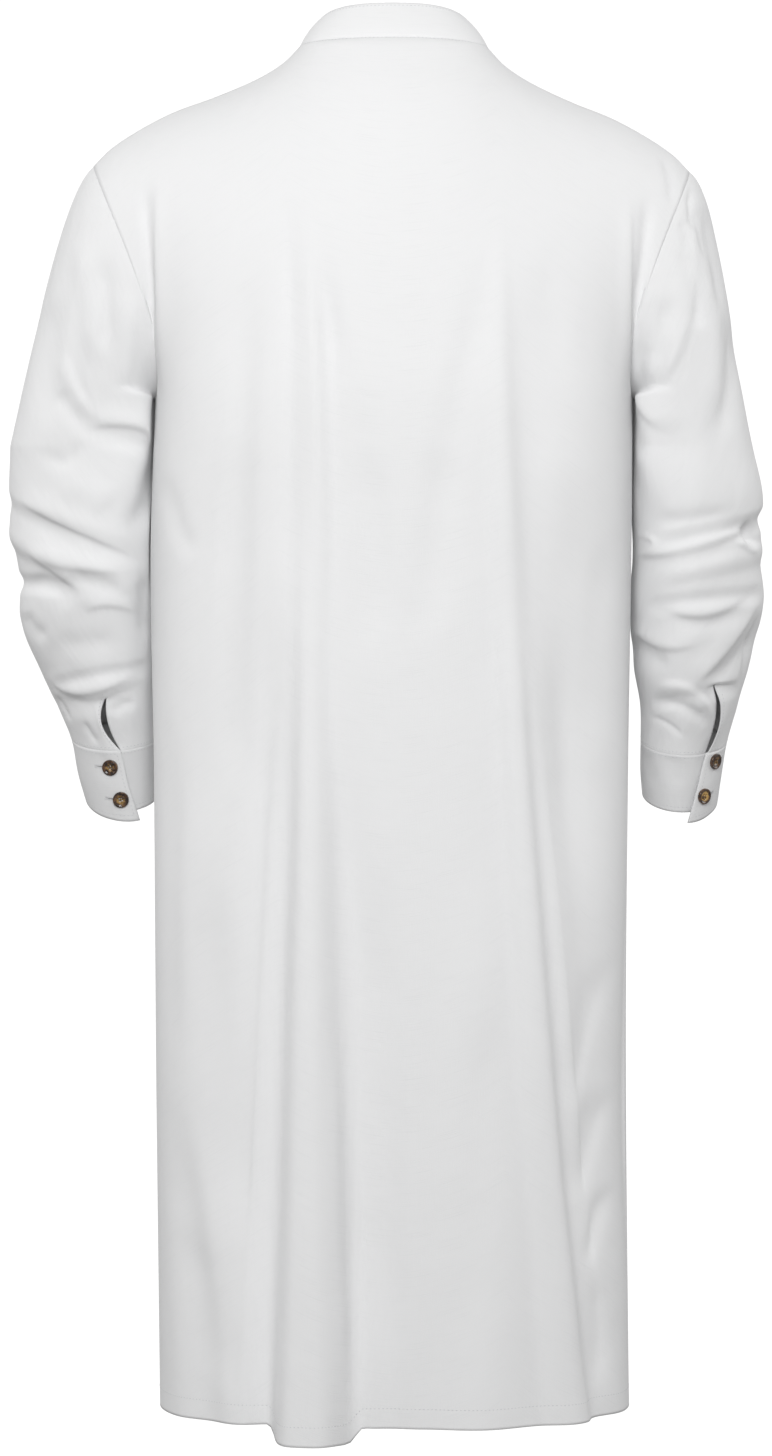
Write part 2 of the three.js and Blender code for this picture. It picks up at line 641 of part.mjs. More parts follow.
// A button: a dished disc, turned about its axis, with its foot at the origin.
function buttonMesh(name, seat) {
  const { radius, rim, dish, foot } = buttonSize;
  const profile = [[0, 0], [radius - 1.6, 0], [radius, foot], [radius, rim - 0.7],
    [radius - 0.8, rim], [radius - 2, rim - 0.4], [radius - 2.6, dish], [0, dish]];
  const turned = new THREE.LatheGeometry(profile.map(([x, y]) => new THREE.Vector2(x, y)), 12);
  const mesh = new THREE.Mesh(turned, hornBrown);
  mesh.name = name;
  mesh.quaternion.setFromUnitVectors(new THREE.Vector3(0, 1, 0), seat.normal);
  mesh.position.copy(seat.point).addScaledVector(seat.normal, buttonShank);
  return mesh;
}

// A place on a grid, by fractions of its rows and columns, with the normal there.
function seatOn(grid, row, column, outward) {
  const top = Math.floor(row);
  const across = (points, at) => points[Math.floor(at)].clone().lerp(points[Math.ceil(at)], at % 1);
  const above = across(grid[top], column);
  const below = across(grid[top + 1], column);
  const along = across(grid[top], column + 0.5).sub(across(grid[top], column - 0.5));
  const normal = below.clone().sub(above).cross(along).normalize().multiplyScalar(outward);
  return { point: above.lerp(below, row - top), normal };
}

const backGrid = panelGrid('back', backFolds);
const frontGrid = panelGrid('front', frontFolds);
const strip = stripGrid(frontGrid);
const collar = collarGrid();
const sewn = [
  { name: 'back', grids: [backGrid], wall: clothWall, turned: true },
  { name: 'front', grids: slitHalves(frontGrid, armRows + slitRows), wall: clothWall },
  { name: 'sleeve_left', grids: [sleeveGrid('left')], wall: clothWall },
  { name: 'sleeve_right', grids: [sleeveGrid('right')], wall: clothWall, turned: true },
  { name: 'cuff_left', grids: [cuffGrid('left')], wall: bandWall },
  { name: 'cuff_right', grids: [cuffGrid('right')], wall: bandWall, turned: true },
  { name: 'collar', grids: [collar], wall: bandWall, turned: true },
];
const laid = [
  { name: 'placket_top', grids: [strip], wall: stripWall, raise: layGap + stripWall },
  { name: 'placket_under', grids: [strip], wall: stripWall, raise: -clothWall - layGap },
];

const shirt = new THREE.Group();
const welded = sewn.map(weldPiece);
const seamNormals = sharedNormals(welded);
for (const piece of welded) shirt.add(clothMesh(piece, seamNormals));
for (const piece of laid.map(weldPiece)) shirt.add(clothMesh(piece, sharedNormals([piece])));

// Each button's row on the strip.
const placketButtons = [1.5, 4.5, 7.5, 9.8];
placketButtons.forEach((row, index) => {
  const seat = seatOn(strip, row, 1, 1);
  seat.point.addScaledVector(seat.normal, layGap + stripWall);
  shirt.add(buttonMesh(`placket_button_${index + 1}`, seat));
});
shirt.add(buttonMesh('collar_button', seatOn(collar, 1, collar[0].length - 1.9, -1)));
const cuffButtons = {
  left: [{ turn: 80, down: 0.28 }, { turn: 82, down: 0.77 }],
  right: [{ turn: 40, down: 0.2 }, { turn: 46, down: 0.72 }],
};
for (const side of ['left', 'right']) {
  const grid = cuffGrid(side);
  cuffButtons[side].forEach(({ turn, down }, index) => {
    const column = turn / (360 / armColumns) - slitShape[side].column + armColumns + lapTurns.length;
    const seat = seatOn(grid, down * cuffRings, column, side === 'left' ? 1 : -1);
    shirt.add(buttonMesh(`cuff_button_${side}_${index + 1}`, seat));
  });
}

export default shirt;
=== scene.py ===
import math

import bmesh
import bpy
import numpy as np
from mathutils import Matrix, Vector


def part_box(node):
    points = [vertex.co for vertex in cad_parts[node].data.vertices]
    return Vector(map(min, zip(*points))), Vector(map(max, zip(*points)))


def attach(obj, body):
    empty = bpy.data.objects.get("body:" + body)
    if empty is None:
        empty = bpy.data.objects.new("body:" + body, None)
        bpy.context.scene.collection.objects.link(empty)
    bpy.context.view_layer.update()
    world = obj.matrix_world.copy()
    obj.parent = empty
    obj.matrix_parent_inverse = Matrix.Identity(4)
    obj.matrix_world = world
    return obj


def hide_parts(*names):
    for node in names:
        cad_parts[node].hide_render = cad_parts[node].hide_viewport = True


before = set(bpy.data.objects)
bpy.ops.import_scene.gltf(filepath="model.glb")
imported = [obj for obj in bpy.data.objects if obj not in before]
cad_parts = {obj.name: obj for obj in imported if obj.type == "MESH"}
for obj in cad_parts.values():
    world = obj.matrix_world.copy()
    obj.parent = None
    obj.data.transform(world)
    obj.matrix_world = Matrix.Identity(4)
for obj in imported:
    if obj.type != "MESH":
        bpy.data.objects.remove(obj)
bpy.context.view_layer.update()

# A long white kaftan shirt, filled out as worn. Sizes are in millimetres and become metres in a mesh.
mm = 0.001
scene = bpy.context.scene
sides = {"left": 1, "right": -1}


# A socket that can be added, multiplied and so on, each step a node of its own.
class Sum:
    def __init__(self, tree, socket=None):
        self.tree = tree
        self.socket = socket

    def to(self, socket):
        self.tree.links.new(self.socket, socket)

    def node(self, kind, inputs, output=0, **settings):
        made = self.tree.nodes.new(kind)
        for key, value in settings.items():
            setattr(made, key, value)
        for key, value in inputs.items():
            if isinstance(value, Sum):
                value.to(made.inputs[key])
            else:
                made.inputs[key].default_value = value
        return Sum(self.tree, made.outputs[output])

    def math(self, operation, *values):
        return self.node("ShaderNodeMath", dict(enumerate(values)), operation=operation)

    def __add__(self, other):
        return self.math("ADD", self, other)

    def __radd__(self, other):
        return self.math("ADD", other, self)

    def __sub__(self, other):
        return self.math("SUBTRACT", self, other)

    def __rsub__(self, other):
        return self.math("SUBTRACT", other, self)

    def __mul__(self, other):
        return self.math("MULTIPLY", self, other)

    def __rmul__(self, other):
        return self.math("MULTIPLY", other, self)

    def step(self, low, high):
        return self.node("ShaderNodeMapRange", {"Value": self, "From Min": low, "From Max": high},
                         interpolation_type="SMOOTHSTEP")

    def scaled(self, parts):
        return self.node("ShaderNodeVectorMath", {0: self, 1: parts}, operation="MULTIPLY")

    def noise(self, scale, detail=3.0, roughness=0.55):
        return self.node("ShaderNodeTexNoise", {"Vector": self, "Scale": scale, "Detail": detail,
                                                "Roughness": roughness})

    def mixed(self, first, second):
        ends = [end if isinstance(end, Sum) else (*end, 1) for end in (first, second)]
        return self.node("ShaderNodeMix", {0: self, 6: ends[0], 7: ends[1]}, 2, data_type="RGBA")


print("camera and light")
view = {
    "place": (6.64, 3600, -565),   # level with the middle of the shirt, behind the wearer
    "lens": 107.2,
    "sensor": 36,
    "farthest": 50,                # in metres
}
studio = {
    "key": {"size": 900, "power": 33.5, "place": (120, 2250, 330)},
    "side": {"size": 1800, "power": 16, "place": (2400, -500, 300)},
    "target": (0, 0, -560),
    "worldLow": 0.22, "worldHigh": 0.54, "worldTint": (1.0, 0.998, 0.995), "backdrop": 1.1,
}


def addCamera():
    data = bpy.data.cameras.new("camera")
    data.lens = view["lens"]
    data.sensor_width = view["sensor"]
    data.clip_end = view["farthest"]
    camera = bpy.data.objects.new("camera", data)
    camera.location = Vector(view["place"]) * mm
    camera.rotation_euler = (math.pi / 2, 0, math.pi)
    scene.collection.objects.link(camera)
    scene.camera = camera


def addLight(name, light, way=1):
    data = bpy.data.lights.new(name, "AREA")
    data.shape = "DISK"
    data.size = light["size"] * mm
    data.energy = light["power"]
    lamp = bpy.data.objects.new(name, data)
    across, behind, up = light["place"]
    lamp.location = Vector((across * way, behind, up)) * mm
    aim = Vector(studio["target"]) * mm - lamp.location
    lamp.rotation_euler = aim.to_track_quat("-Z", "Y").to_euler()
    scene.collection.objects.link(lamp)


# The world grows lighter upwards. The camera itself sees plain white all round.
def addWorld():
    world = bpy.data.worlds.new("studio")
    world.use_nodes = True
    scene.world = world
    sky = world.node_tree.nodes["Background"]
    paint = Sum(world.node_tree)
    toward = paint.node("ShaderNodeTexCoord", {}, "Generated")
    height = paint.node("ShaderNodeSeparateXYZ", {0: toward}, "Z")
    strength = paint.node("ShaderNodeMapRange", {
        "Value": height, "From Min": -1, "From Max": 1,
        "To Min": studio["worldLow"], "To Max": studio["worldHigh"],
    })
    seen = paint.node("ShaderNodeLightPath", {}, "Is Camera Ray")
    paint.node("ShaderNodeMix", {0: seen, 2: strength, 3: studio["backdrop"]}).to(sky.inputs["Strength"])
    sky.inputs["Color"].default_value = (*studio["worldTint"], 1)


addCamera()
addLight("key", studio["key"])
for side, way in sides.items():
    addLight("side_" + side, studio["side"], way)
addWorld()
scene.view_settings.view_transform = "Standard"

# The cut of the body, worked out as the solids are.
body = {
    "underarm": -291, "hem": -1125, "rowSag": 30, "squareness": 0.029,
    "shoulderAcross": (246, 250), "shoulderDrop": (5, 0), "shoulderForward": -6,
    "dropAcross": (20, 200), "neckShare": 5 / 18, "rowRound": 4, "edgeRound": 5,
    "upperRows": 9, "lowerRows": 15,
}
neck = {"across": 78, "behind": 62, "ahead": 72, "seamRise": 2, "frontDrop": 70, "frontRound": 1.3}
girth = [
    {"level": -291, "left": 198, "right": 198, "behind": 130, "ahead": 124},
    {"level": -425, "left": 202, "right": 197, "behind": 127, "ahead": 122},
    {"level": -590, "left": 199.5, "right": 194.5, "behind": 126, "ahead": 122},
    {"level": -830, "left": 197.5, "right": 192.5, "behind": 132, "ahead": 126},
    {"level": -1125, "left": 194, "right": 195, "behind": 140, "ahead": 132},
]
shoulderLine = [
    {"across": 78, "level": 2},
    {"across": 92, "level": -12},
    {"across": 114, "level": -25.5},
    {"across": 149, "level": -40.5},
    {"across": 183, "level": -53},
    {"across": 212, "level": -68},
    {"across": 236, "level": -84},
    {"across": 250, "level": -98},
]
armholeUp = {"back": (-20, 75, 41), "front": (-26, -75, 41)}
panelRise = {"back": (0, 2, 112), "front": (0, -1, 96)}
topFall = {
    "back": [
        {"share": 0, "across": 0, "out": 52, "down": -10},
        {"share": 0.28, "across": 0, "out": 92, "down": -28},
        {"share": 0.65, "across": 0, "out": 94, "down": -36},
        {"share": 1, "across": -10, "out": 90, "down": -32},
    ],
    "front": [
        {"share": 0, "across": 0, "out": -46, "down": -40},
        {"share": 0.28, "across": 0, "out": -76, "down": -36},
        {"share": 0.65, "across": 0, "out": -88, "down": -36},
        {"share": 1, "across": -18, "out": -88, "down": -32},
    ],
}


# A smooth curve through one column of a table, read at values of the key column.
def readColumn(rows, key, column, at):
    keys = np.array([row[key] for row in rows], float)
    values = np.array([row[column] for row in rows], float)
    if keys[0] > keys[-1]:
        keys, values = keys[::-1], values[::-1]
    slopes = np.gradient(values, keys)
    slopes[1:-1] = (values[2:] - values[:-2]) / (keys[2:] - keys[:-2])
    spot = np.clip(np.searchsorted(keys, at, side="right") - 1, 0, len(keys) - 2)
    span = keys[spot + 1] - keys[spot]
    t = np.clip((at - keys[spot]) / span, 0, 1)
    bend = t * t * (3 - 2 * t)
    pull = t * (1 - t) ** 2 * slopes[spot] - t * t * (1 - t) * slopes[spot + 1]
    return values[spot] * (1 - bend) + values[spot + 1] * bend + pull * span


def smooth(value, low, high):
    t = np.clip((value - low) / (high - low), 0, 1)
    return t * t * (3 - 2 * t)


def mix(start, end, t):
    return start + (end - start) * t


def throughThree(values, t):
    return values[0] * (1 - t) * (1 - 2 * t) + values[1] * 4 * t * (1 - t) + values[2] * t * (2 * t - 1)


def joined(x, y, z):
    return np.stack(np.broadcast_arrays(x, y, z), axis=-1).astype(float)


def bezier(start, leave, arrive, end, t):
    t = np.asarray(t)[..., None]
    return (start * (1 - t) ** 3 + leave * 3 * t * (1 - t) ** 2 + arrive * 3 * t * t * (1 - t)
            + end * t ** 3)


def bySide(share, pair):
    return np.where(share >= 0, pair[1], pair[0])


def sectionPoint(face, share, level):
    turn = share * np.pi / 2
    wide = bySide(share, (readColumn(girth, "level", "right", level),
                          readColumn(girth, "level", "left", level)))
    deep = readColumn(girth, "level", "behind" if face == "back" else "ahead", level)
    fill = body["squareness"]
    x = wide * (np.sin(turn) + fill * np.sin(3 * turn)) / (1 - fill)
    y = deep * (np.cos(turn) - fill * np.cos(3 * turn)) / (1 - fill)
    return joined(x, y if face == "back" else -y, level)


def underarmRow(share):
    return body["underarm"] - body["rowSag"] * (1 - share ** body["rowRound"])


def sideDrop(across):
    return bySide(across, body["shoulderDrop"]) * smooth(np.abs(across), *body["dropAcross"])


def necklinePoint(face, turn):
    reach = np.clip(np.cos(turn), 0, 1)
    x = neck["across"] * np.sin(turn)
    if face == "back":
        y = body["shoulderForward"] + neck["behind"] * reach
        level = neck["seamRise"] * (1 - reach)
    else:
        y = body["shoulderForward"] - neck["ahead"] * reach
        level = neck["seamRise"] - neck["frontDrop"] * reach ** neck["frontRound"]
    return joined(x, y, level - sideDrop(x))


def topPoint(face, share):
    size = np.abs(share)
    onNeck = necklinePoint(face, np.clip(share / body["neckShare"], -1, 1) * np.pi / 2)
    along = np.clip((size - body["neckShare"]) / (1 - body["neckShare"]), 0, 1)
    flat = mix(neck["across"], shoulderLine[-1]["across"], along)
    across = mix(neck["across"], bySide(share, body["shoulderAcross"]), along) * np.sign(share)
    level = readColumn(shoulderLine, "across", "level", flat) - sideDrop(across)
    onSeam = joined(across, body["shoulderForward"], level)
    return np.where((size <= body["neckShare"])[..., None], onNeck, onSeam)


def upperPoint(face, share, climb):
    side = joined(np.sign(share), 1, 1)
    start = sectionPoint(face, share, np.full_like(share, body["underarm"]))
    start[..., 2] = underarmRow(share)
    end = topPoint(face, share)
    edge = (np.abs(share) ** body["edgeRound"])[..., None]
    leave = mix(np.array(panelRise[face], float), np.array(armholeUp[face], float), edge) * side
    arrive = joined(*(readColumn(topFall[face], "share", column, np.abs(share))
                      for column in ("across", "out", "down"))) * side
    return bezier(start, start + leave, end + arrive, end, climb)


# A panel's place by its share across and how far down it is: 0 at the top, 1 under the arm, 2 at the hem.
def panelPoint(face, share, down):
    upper = upperPoint(face, share, 1 - np.clip(down, 0, 1))
    level = mix(underarmRow(share), body["hem"], np.clip(down - 1, 0, 1))
    lower = sectionPoint(face, share, level)
    return np.where((down <= 1)[..., None], upper, lower)


def unit(vectors, least=1e-9):
    return vectors / np.maximum(np.linalg.norm(vectors, axis=-1, keepdims=True), least)


def gridNormals(grid):
    return unit(np.cross(np.gradient(grid, axis=0), np.gradient(grid, axis=1)))


foldForm = {"starts": 0.25, "ends": 0.85, "hemEdge": 0.32}


# The large folds lie where the solids' own do. Each runs down a panel from its top to its foot, and its
# half width and rise change on the way. A drop lowers the hem under it, squarely if the fold is flat.
def foldOf(top, foot, across, half, rise, drop=0, flat=False):
    return {"top": top, "foot": foot, "across": across, "half": half, "rise": rise,
            "drop": drop, "flat": flat}


backFolds = {
    "pipe": foldOf(-330, -1200, (70, 66, 66), (10, 44), (3, 27), drop=16, flat=True),
    "pipeInner": foldOf(-560, -1200, (52, 46, 33), (14, 26), (-2, -11)),
    "pipeOuter": foldOf(-480, -1200, (80, 96, 106), (14, 24), (-3, -15)),
    "rightRidge": foldOf(-190, -1180, (-82, -108, -146), (17, 26), (4, 9)),
    "rightTrough": foldOf(-380, -1160, (-92, -128, -176), (12, 19), (-3, -9)),
    "broadRidge": foldOf(-640, -1260, (-66, -68, -70), (40, 52), (2, 11), drop=1),
    "middleTrough": foldOf(-640, -1240, (6, 6, 4), (22, 30), (-2, -7)),
    "bladeLeft": foldOf(-165, -500, (64, 34, 6), (18, 30), (-2.5, -1.5)),
    "bladeRight": foldOf(-180, -520, (-73, -44, -14), (18, 30), (-2.5, -1.2)),
    "leftHollow": foldOf(-190, -620, (114, 128, 134), (18, 24), (-3, -4)),
    "leftLower": foldOf(-860, -1230, (178, 160, 146), (18, 26), (-3, -7)),
}
frontFolds = {
    "chestLeft": foldOf(-260, -700, (96, 88, 72), (18, 26), (-3, -4)),
    "chestRight": foldOf(-240, -640, (-104, -92, -84), (18, 24), (-3, -4)),
    "leftPipe": foldOf(-560, -1230, (104, 98, 92), (16, 34), (2, 17), drop=6),
    "leftTrough": foldOf(-600, -1220, (60, 54, 46), (16, 28), (-2, -9)),
    "middleRidge": foldOf(-680, -1230, (4, 0, -6), (20, 34), (2, 9), drop=3),
    "rightTrough": foldOf(-520, -1220, (-56, -62, -72), (16, 26), (-2, -10)),
    "rightPipe": foldOf(-620, -1230, (-112, -118, -124), (16, 32), (2, 14), drop=5),
}


def foldMoves(folds, x, z):
    rise = np.zeros_like(x)
    drop = np.zeros_like(x)
    for fold in folds.values():
        along = (fold["top"] - z) / (fold["top"] - fold["foot"])
        inside = np.clip(along, 0, 1)
        half = mix(*fold["half"], inside)
        away = np.clip(np.abs(x - throughThree(fold["across"], inside)) / half, 0, 1)
        profile = np.cos(away * np.pi / 2) ** 2
        if fold["flat"]:
            profile = mix(profile, 1 - (1 - profile) ** 2, inside)
        profile = profile * (along > 0) * (along < 1)
        ends = 1 - smooth(inside, foldForm["ends"], 1) * (fold["foot"] > body["hem"])
        rise += mix(*fold["rise"], inside) * smooth(inside, 0, foldForm["starts"]) * ends * profile
        if fold["flat"]:
            profile = smooth(1 - away, 0, foldForm["hemEdge"]) * (along < 1)
        drop += fold["drop"] * inside ** 3 * profile
    return rise, drop


creaseForm = {
    "steps": 24, "reach": 6, "longFlank": 1.6, "steepFlank": 0.5, "ends": 0.3,
    "soft": (1.6, 2), "sharp": (2.1, 1.25),
}


# The share along a curve, the distance and the side of each spot's nearest place on it.
def nearestAlong(curve, steps, spots):
    best = np.full(len(spots), 1e9)
    along = np.zeros(len(spots))
    signed = np.zeros(len(spots))
    for index in range(len(steps) - 1):
        start, run = curve[index], curve[index + 1] - curve[index]
        offset = spots - start
        t = np.clip(offset @ run / (run @ run), 0, 1)
        away = offset - t[:, None] * run
        distance = np.hypot(away[:, 0], away[:, 1])
        closer = distance < best
        turn = run[0] * offset[:, 1] - run[1] * offset[:, 0]
        best = np.where(closer, distance, best)
        along = np.where(closer, mix(steps[index], steps[index + 1], t), along)
        signed = np.where(closer, np.sign(turn), signed)
    return along, best, signed


# How far the creases move each place out. Places and paths are flat, across and level.
def creaseRise(creases, across, level):
    rise = np.zeros_like(across)
    steps = np.linspace(0, 1, creaseForm["steps"] + 1)
    for crease in creases.values():
        half = np.broadcast_to(crease["half"], 2)
        path = np.array(crease["path"], float)
        curve = np.stack([throughThree(path[:, 0], steps), throughThree(path[:, 1], steps)], axis=-1)
        low = curve.min(axis=0) - creaseForm["reach"] * half.max()
        high = curve.max(axis=0) + creaseForm["reach"] * half.max()
        near = (across > low[0]) & (across < high[0]) & (level > low[1]) & (level < high[1])
        if not near.any():
            continue
        along, away, side = nearestAlong(curve, steps, np.stack([across[near], level[near]], axis=-1))
        lean = crease["lean"]
        wider = np.where(side * np.sign(lean) > 0, 1 + creaseForm["longFlank"] * abs(lean),
                         1 - creaseForm["steepFlank"] * abs(lean))
        gone = away / (mix(*half, along) * wider)
        fall, power = creaseForm["sharp" if crease["sharp"] else "soft"]
        fade = smooth(along, 0, creaseForm["ends"]) * (1 - smooth(along, 1 - creaseForm["ends"], 1))
        rise[near] += crease["rise"] * np.exp(-fall * gone ** power) * fade
    return rise


# The arms: rings down each, and folds that run round it between two turns and two levels.
arms = {
    "columns": 18, "start": -330, "headRows": 6, "rings": 13, "stepGirth": 56, "tuckTurn": 50,
    "calmHead": 1.5, "calmWrist": 2, "plainHead": 0.5, "plainWrist": 0.6, "clearFrom": 1.4,
    "foldEnds": 0.2, "faceEdge": (-0.25, 0.15), "gridColumns": 151, "gridHead": 60, "gridArm": 130,
}


def armRows(*rows):
    return [dict(zip(("level", "outer", "inner", "middle", "depth", "tip"), row)) for row in rows]


armShape = {
    "left": armRows(
        (-330, 320, 199, -18, 59, 3),
        (-385, 321, 198, -23, 60, 5),
        (-440, 313, 198, -32, 58, 8),
        (-476, 313, 198, -42, 56, 10),
        (-516, 297, 199, -54, 52, 12),
        (-545, 284, 200, -62, 47, 12),
        (-572, 273, 200, -70, 42, 12),
        (-600, 268, 200, -78, 41, 14),
        (-621, 262, 200, -84, 41, 15),
    ),
    "right": armRows(
        (-330, 299, 199, -18, 64, 3),
        (-372, 308, 198, -22, 65, 5),
        (-420, 306, 200, -30, 62, 7),
        (-458, 310, 198, -38, 60, 9),
        (-513, 299, 202, -52, 54, 12),
        (-545, 290, 208, -62, 48, 12),
        (-575, 282, 209, -71, 42, 13),
        (-600, 278, 209, -78, 42, 14),
        (-621, 275, 211, -84, 42, 15),
    ),
}
headLead = {
    "over": {"leave": (25, -3, -17), "arrive": (18, -3, -80)},
    "behind": {"leave": (28, 5, -30), "arrive": (8, -6, -50)},
    "under": {"leave": (15, -3, -8), "arrive": (-3, -4, -16)},
    "ahead": {"leave": (26, -6, -30), "arrive": (8, -8, -50)},
}


def armFoldOf(turn, level, half, rise):
    return {"turn": turn, "level": level, "half": half, "rise": rise}


armFolds = {
    "left": {
        "elbowCrease": armFoldOf((-30, 156), (-366, -430), 13, -2.2),
        "elbowRoll": armFoldOf((-20, 150), (-395, -452), 15, 3.0),
        "lowerCrease": armFoldOf((-30, 90), (-440, -450), 11, -3.0),
        "upperArc": armFoldOf((80, 165), (-312, -344), 13, -2.4),
        "upperHollow": armFoldOf((62, 84), (-170, -318), 13, -1.8),
        "forearmArc": armFoldOf((30, 160), (-532, -512), 10, -2.4),
        "frontElbow": armFoldOf((200, 330), (-428, -372), 14, -3.6),
        "frontForearm": armFoldOf((210, 330), (-500, -470), 12, -2.4),
    },
    "right": {
        "elbowCrease": armFoldOf((-30, 140), (-384, -418), 13, -4.2),
        "elbowRoll": armFoldOf((-20, 140), (-412, -440), 14, 2.4),
        "lowerCrease": armFoldOf((10, 150), (-452, -466), 11, -2.4),
        "upperRidge": armFoldOf((86, 140), (-168, -292), 15, 3.0),
        "upperValley": armFoldOf((62, 70), (-170, -240), 12, -2.4),
        "forearmArc": armFoldOf((20, 150), (-530, -545), 10, -1.8),
        "frontElbow": armFoldOf((205, 335), (-420, -380), 14, -3.6),
        "frontForearm": armFoldOf((200, 320), (-505, -480), 12, -2.4),
    },
}
slitShape = {
    "left": {"column": 5, "swing": (-3, -12, 3), "open": 5, "rings": 2.3},
    "right": {"column": 3, "swing": (12, -3, 2), "open": 3, "rings": 3},
}
slitEdge = {"swing": 0.6, "parted": 0.3}
cuff = {
    "level": {"left": -572, "right": -575}, "skew": {"left": 20, "right": 24}, "end": -621,
    "wall": 2.2, "lie": 0.6, "lap": 34, "skewFrom": 260, "flare": 3.4, "flareFrom": 322,
    "flareTop": 0.05, "drop": 8, "dropFrom": 240, "plainTop": 0.15, "seamFoot": 0.5,
    "columns": 151, "rows": 26,
}


# Where a sleeve's slit and its cuff's overlap lie round the arm, in degrees.
def slitTurn(side):
    return slitShape[side]["column"] * 360 / arms["columns"]


def armTuck(side, turn, level):
    past = turn - slitTurn(side)
    sunk = (past >= 0) * (1 - smooth(past, 0, arms["tuckTurn"]))
    end = cuff["level"][side]
    ringStep = (arms["start"] - end) / arms["rings"]
    fallen = 1 - smooth(level, end, end + slitShape[side]["rings"] * ringStep)
    return (cuff["wall"] + cuff["lie"]) * sunk * fallen


def armPoint(side, turn, level):
    row = {name: readColumn(armShape[side], "level", name, level)
           for name in ("outer", "inner", "middle", "depth", "tip")}
    angle = np.radians(turn)
    tuck = armTuck(side, turn, level)
    half = (row["outer"] - row["inner"]) / 2 - tuck
    x = (row["outer"] + row["inner"]) / 2 + half * np.cos(angle)
    y = row["middle"] + (row["depth"] - tuck) * np.sin(angle)
    return joined(x * sides[side], y, level - row["tip"] * np.sin(angle))


# The sleeve's head, from the armhole's edge at climb 0 down to the arm's first ring at 1.
def headPoint(side, turn, climb):
    flip = sides[side]
    turn = np.mod(turn, 360)
    around = np.where(turn <= 180, turn / 180, 2 - turn / 180)
    share = np.full_like(turn, flip)
    start = np.where((turn <= 180)[..., None], upperPoint("back", share, 1 - around),
                     upperPoint("front", share, 1 - around))
    end = armPoint(side, turn, np.full_like(turn, arms["start"]))
    angle = np.radians(turn)
    over, beside = (np.cos(angle) ** 2)[..., None], (np.sin(angle) ** 2)[..., None]

    def lean(key):
        toward = np.where((np.cos(angle) >= 0)[..., None], headLead["over"][key], headLead["under"][key])
        aside = np.where((np.sin(angle) >= 0)[..., None], headLead["behind"][key], headLead["ahead"][key])
        return (toward * over + aside * beside) * (flip, 1, 1)

    return bezier(start, start + lean("leave"), end - lean("arrive"), end, climb)


def armFoldRise(side, turn, level):
    rise = np.zeros_like(level)
    for fold in armFolds[side].values():
        first, last = (np.array([math.radians(around) * arms["stepGirth"], height])
                       for around, height in zip(fold["turn"], fold["level"]))
        run = last - first
        length = np.hypot(*run)
        for lap in (0, -360):
            across = np.radians(np.mod(turn, 360) + lap) * arms["stepGirth"] - first[0]
            fallen = level - first[1]
            along = (across * run[0] + fallen * run[1]) / length ** 2
            away = np.clip(np.abs(across * run[1] - fallen * run[0]) / length / fold["half"], 0, 1)
            fade = smooth(along, 0, arms["foldEnds"]) * (1 - smooth(along, 1 - arms["foldEnds"], 1))
            rise += fold["rise"] * fade * np.cos(away * np.pi / 2) ** 2 * (along > 0) * (along < 1)
    return rise


underArm = {
    "clearance": 1.6, "roundness": 2.35, "drawn": 0.85, "gap": (8, 44),
    "drawnFoot": (-395, -330), "drawnTop": (-292, -284), "clearTop": (-298, -290),
}


# Keep an arm just clear of the body's side, and draw its inner side in under the armhole.
def clearBody(side, points, hold=1.0):
    level = np.maximum(points[..., 2], body["hem"])
    wide = readColumn(girth, "level", side, level)
    deep = np.where(points[..., 1] > 0, readColumn(girth, "level", "behind", level),
                    readColumn(girth, "level", "ahead", level))
    reach = np.clip(np.abs(points[..., 1]) / deep, 0, 1)
    edge = wide * (1 - reach ** underArm["roundness"]) ** (1 / underArm["roundness"]) + underArm["clearance"]
    gap = points[..., 0] * sides[side] - edge
    drawn = smooth(points[..., 2], *underArm["drawnFoot"])
    drawn = drawn * (1 - smooth(points[..., 2], *underArm["drawnTop"])) * hold
    held = gap * (1 - underArm["drawn"] * drawn * (1 - smooth(gap, *underArm["gap"])))
    held = np.where(gap < 0, mix(gap, 0, hold * (1 - smooth(points[..., 2], *underArm["clearTop"]))), held)
    points[..., 0] = (edge + held) * sides[side]
    return points


even = {
    "blades": 180, "bladeTop": (0.01, 0.22), "bladeFoot": (0.75, 1), "bladeSides": (0.15, 0.4),
    "underarm": 90, "underarmHalf": 0.06,
}
plain = {"foldSide": 0.08, "foldTop": 1.5, "creaseSide": 0.03, "creaseTop": 0.4}


# Even out a grid's points along one axis, each by its own weight.
def evenOut(grid, weight, rounds, axis):
    lines = np.swapaxes(grid, 0, axis)
    pull = np.swapaxes(weight, 0, axis)[1:-1, :, None] * 0.5
    for _ in range(rounds):
        lines[1:-1] += ((lines[2:] + lines[:-2]) / 2 - lines[1:-1]) * pull


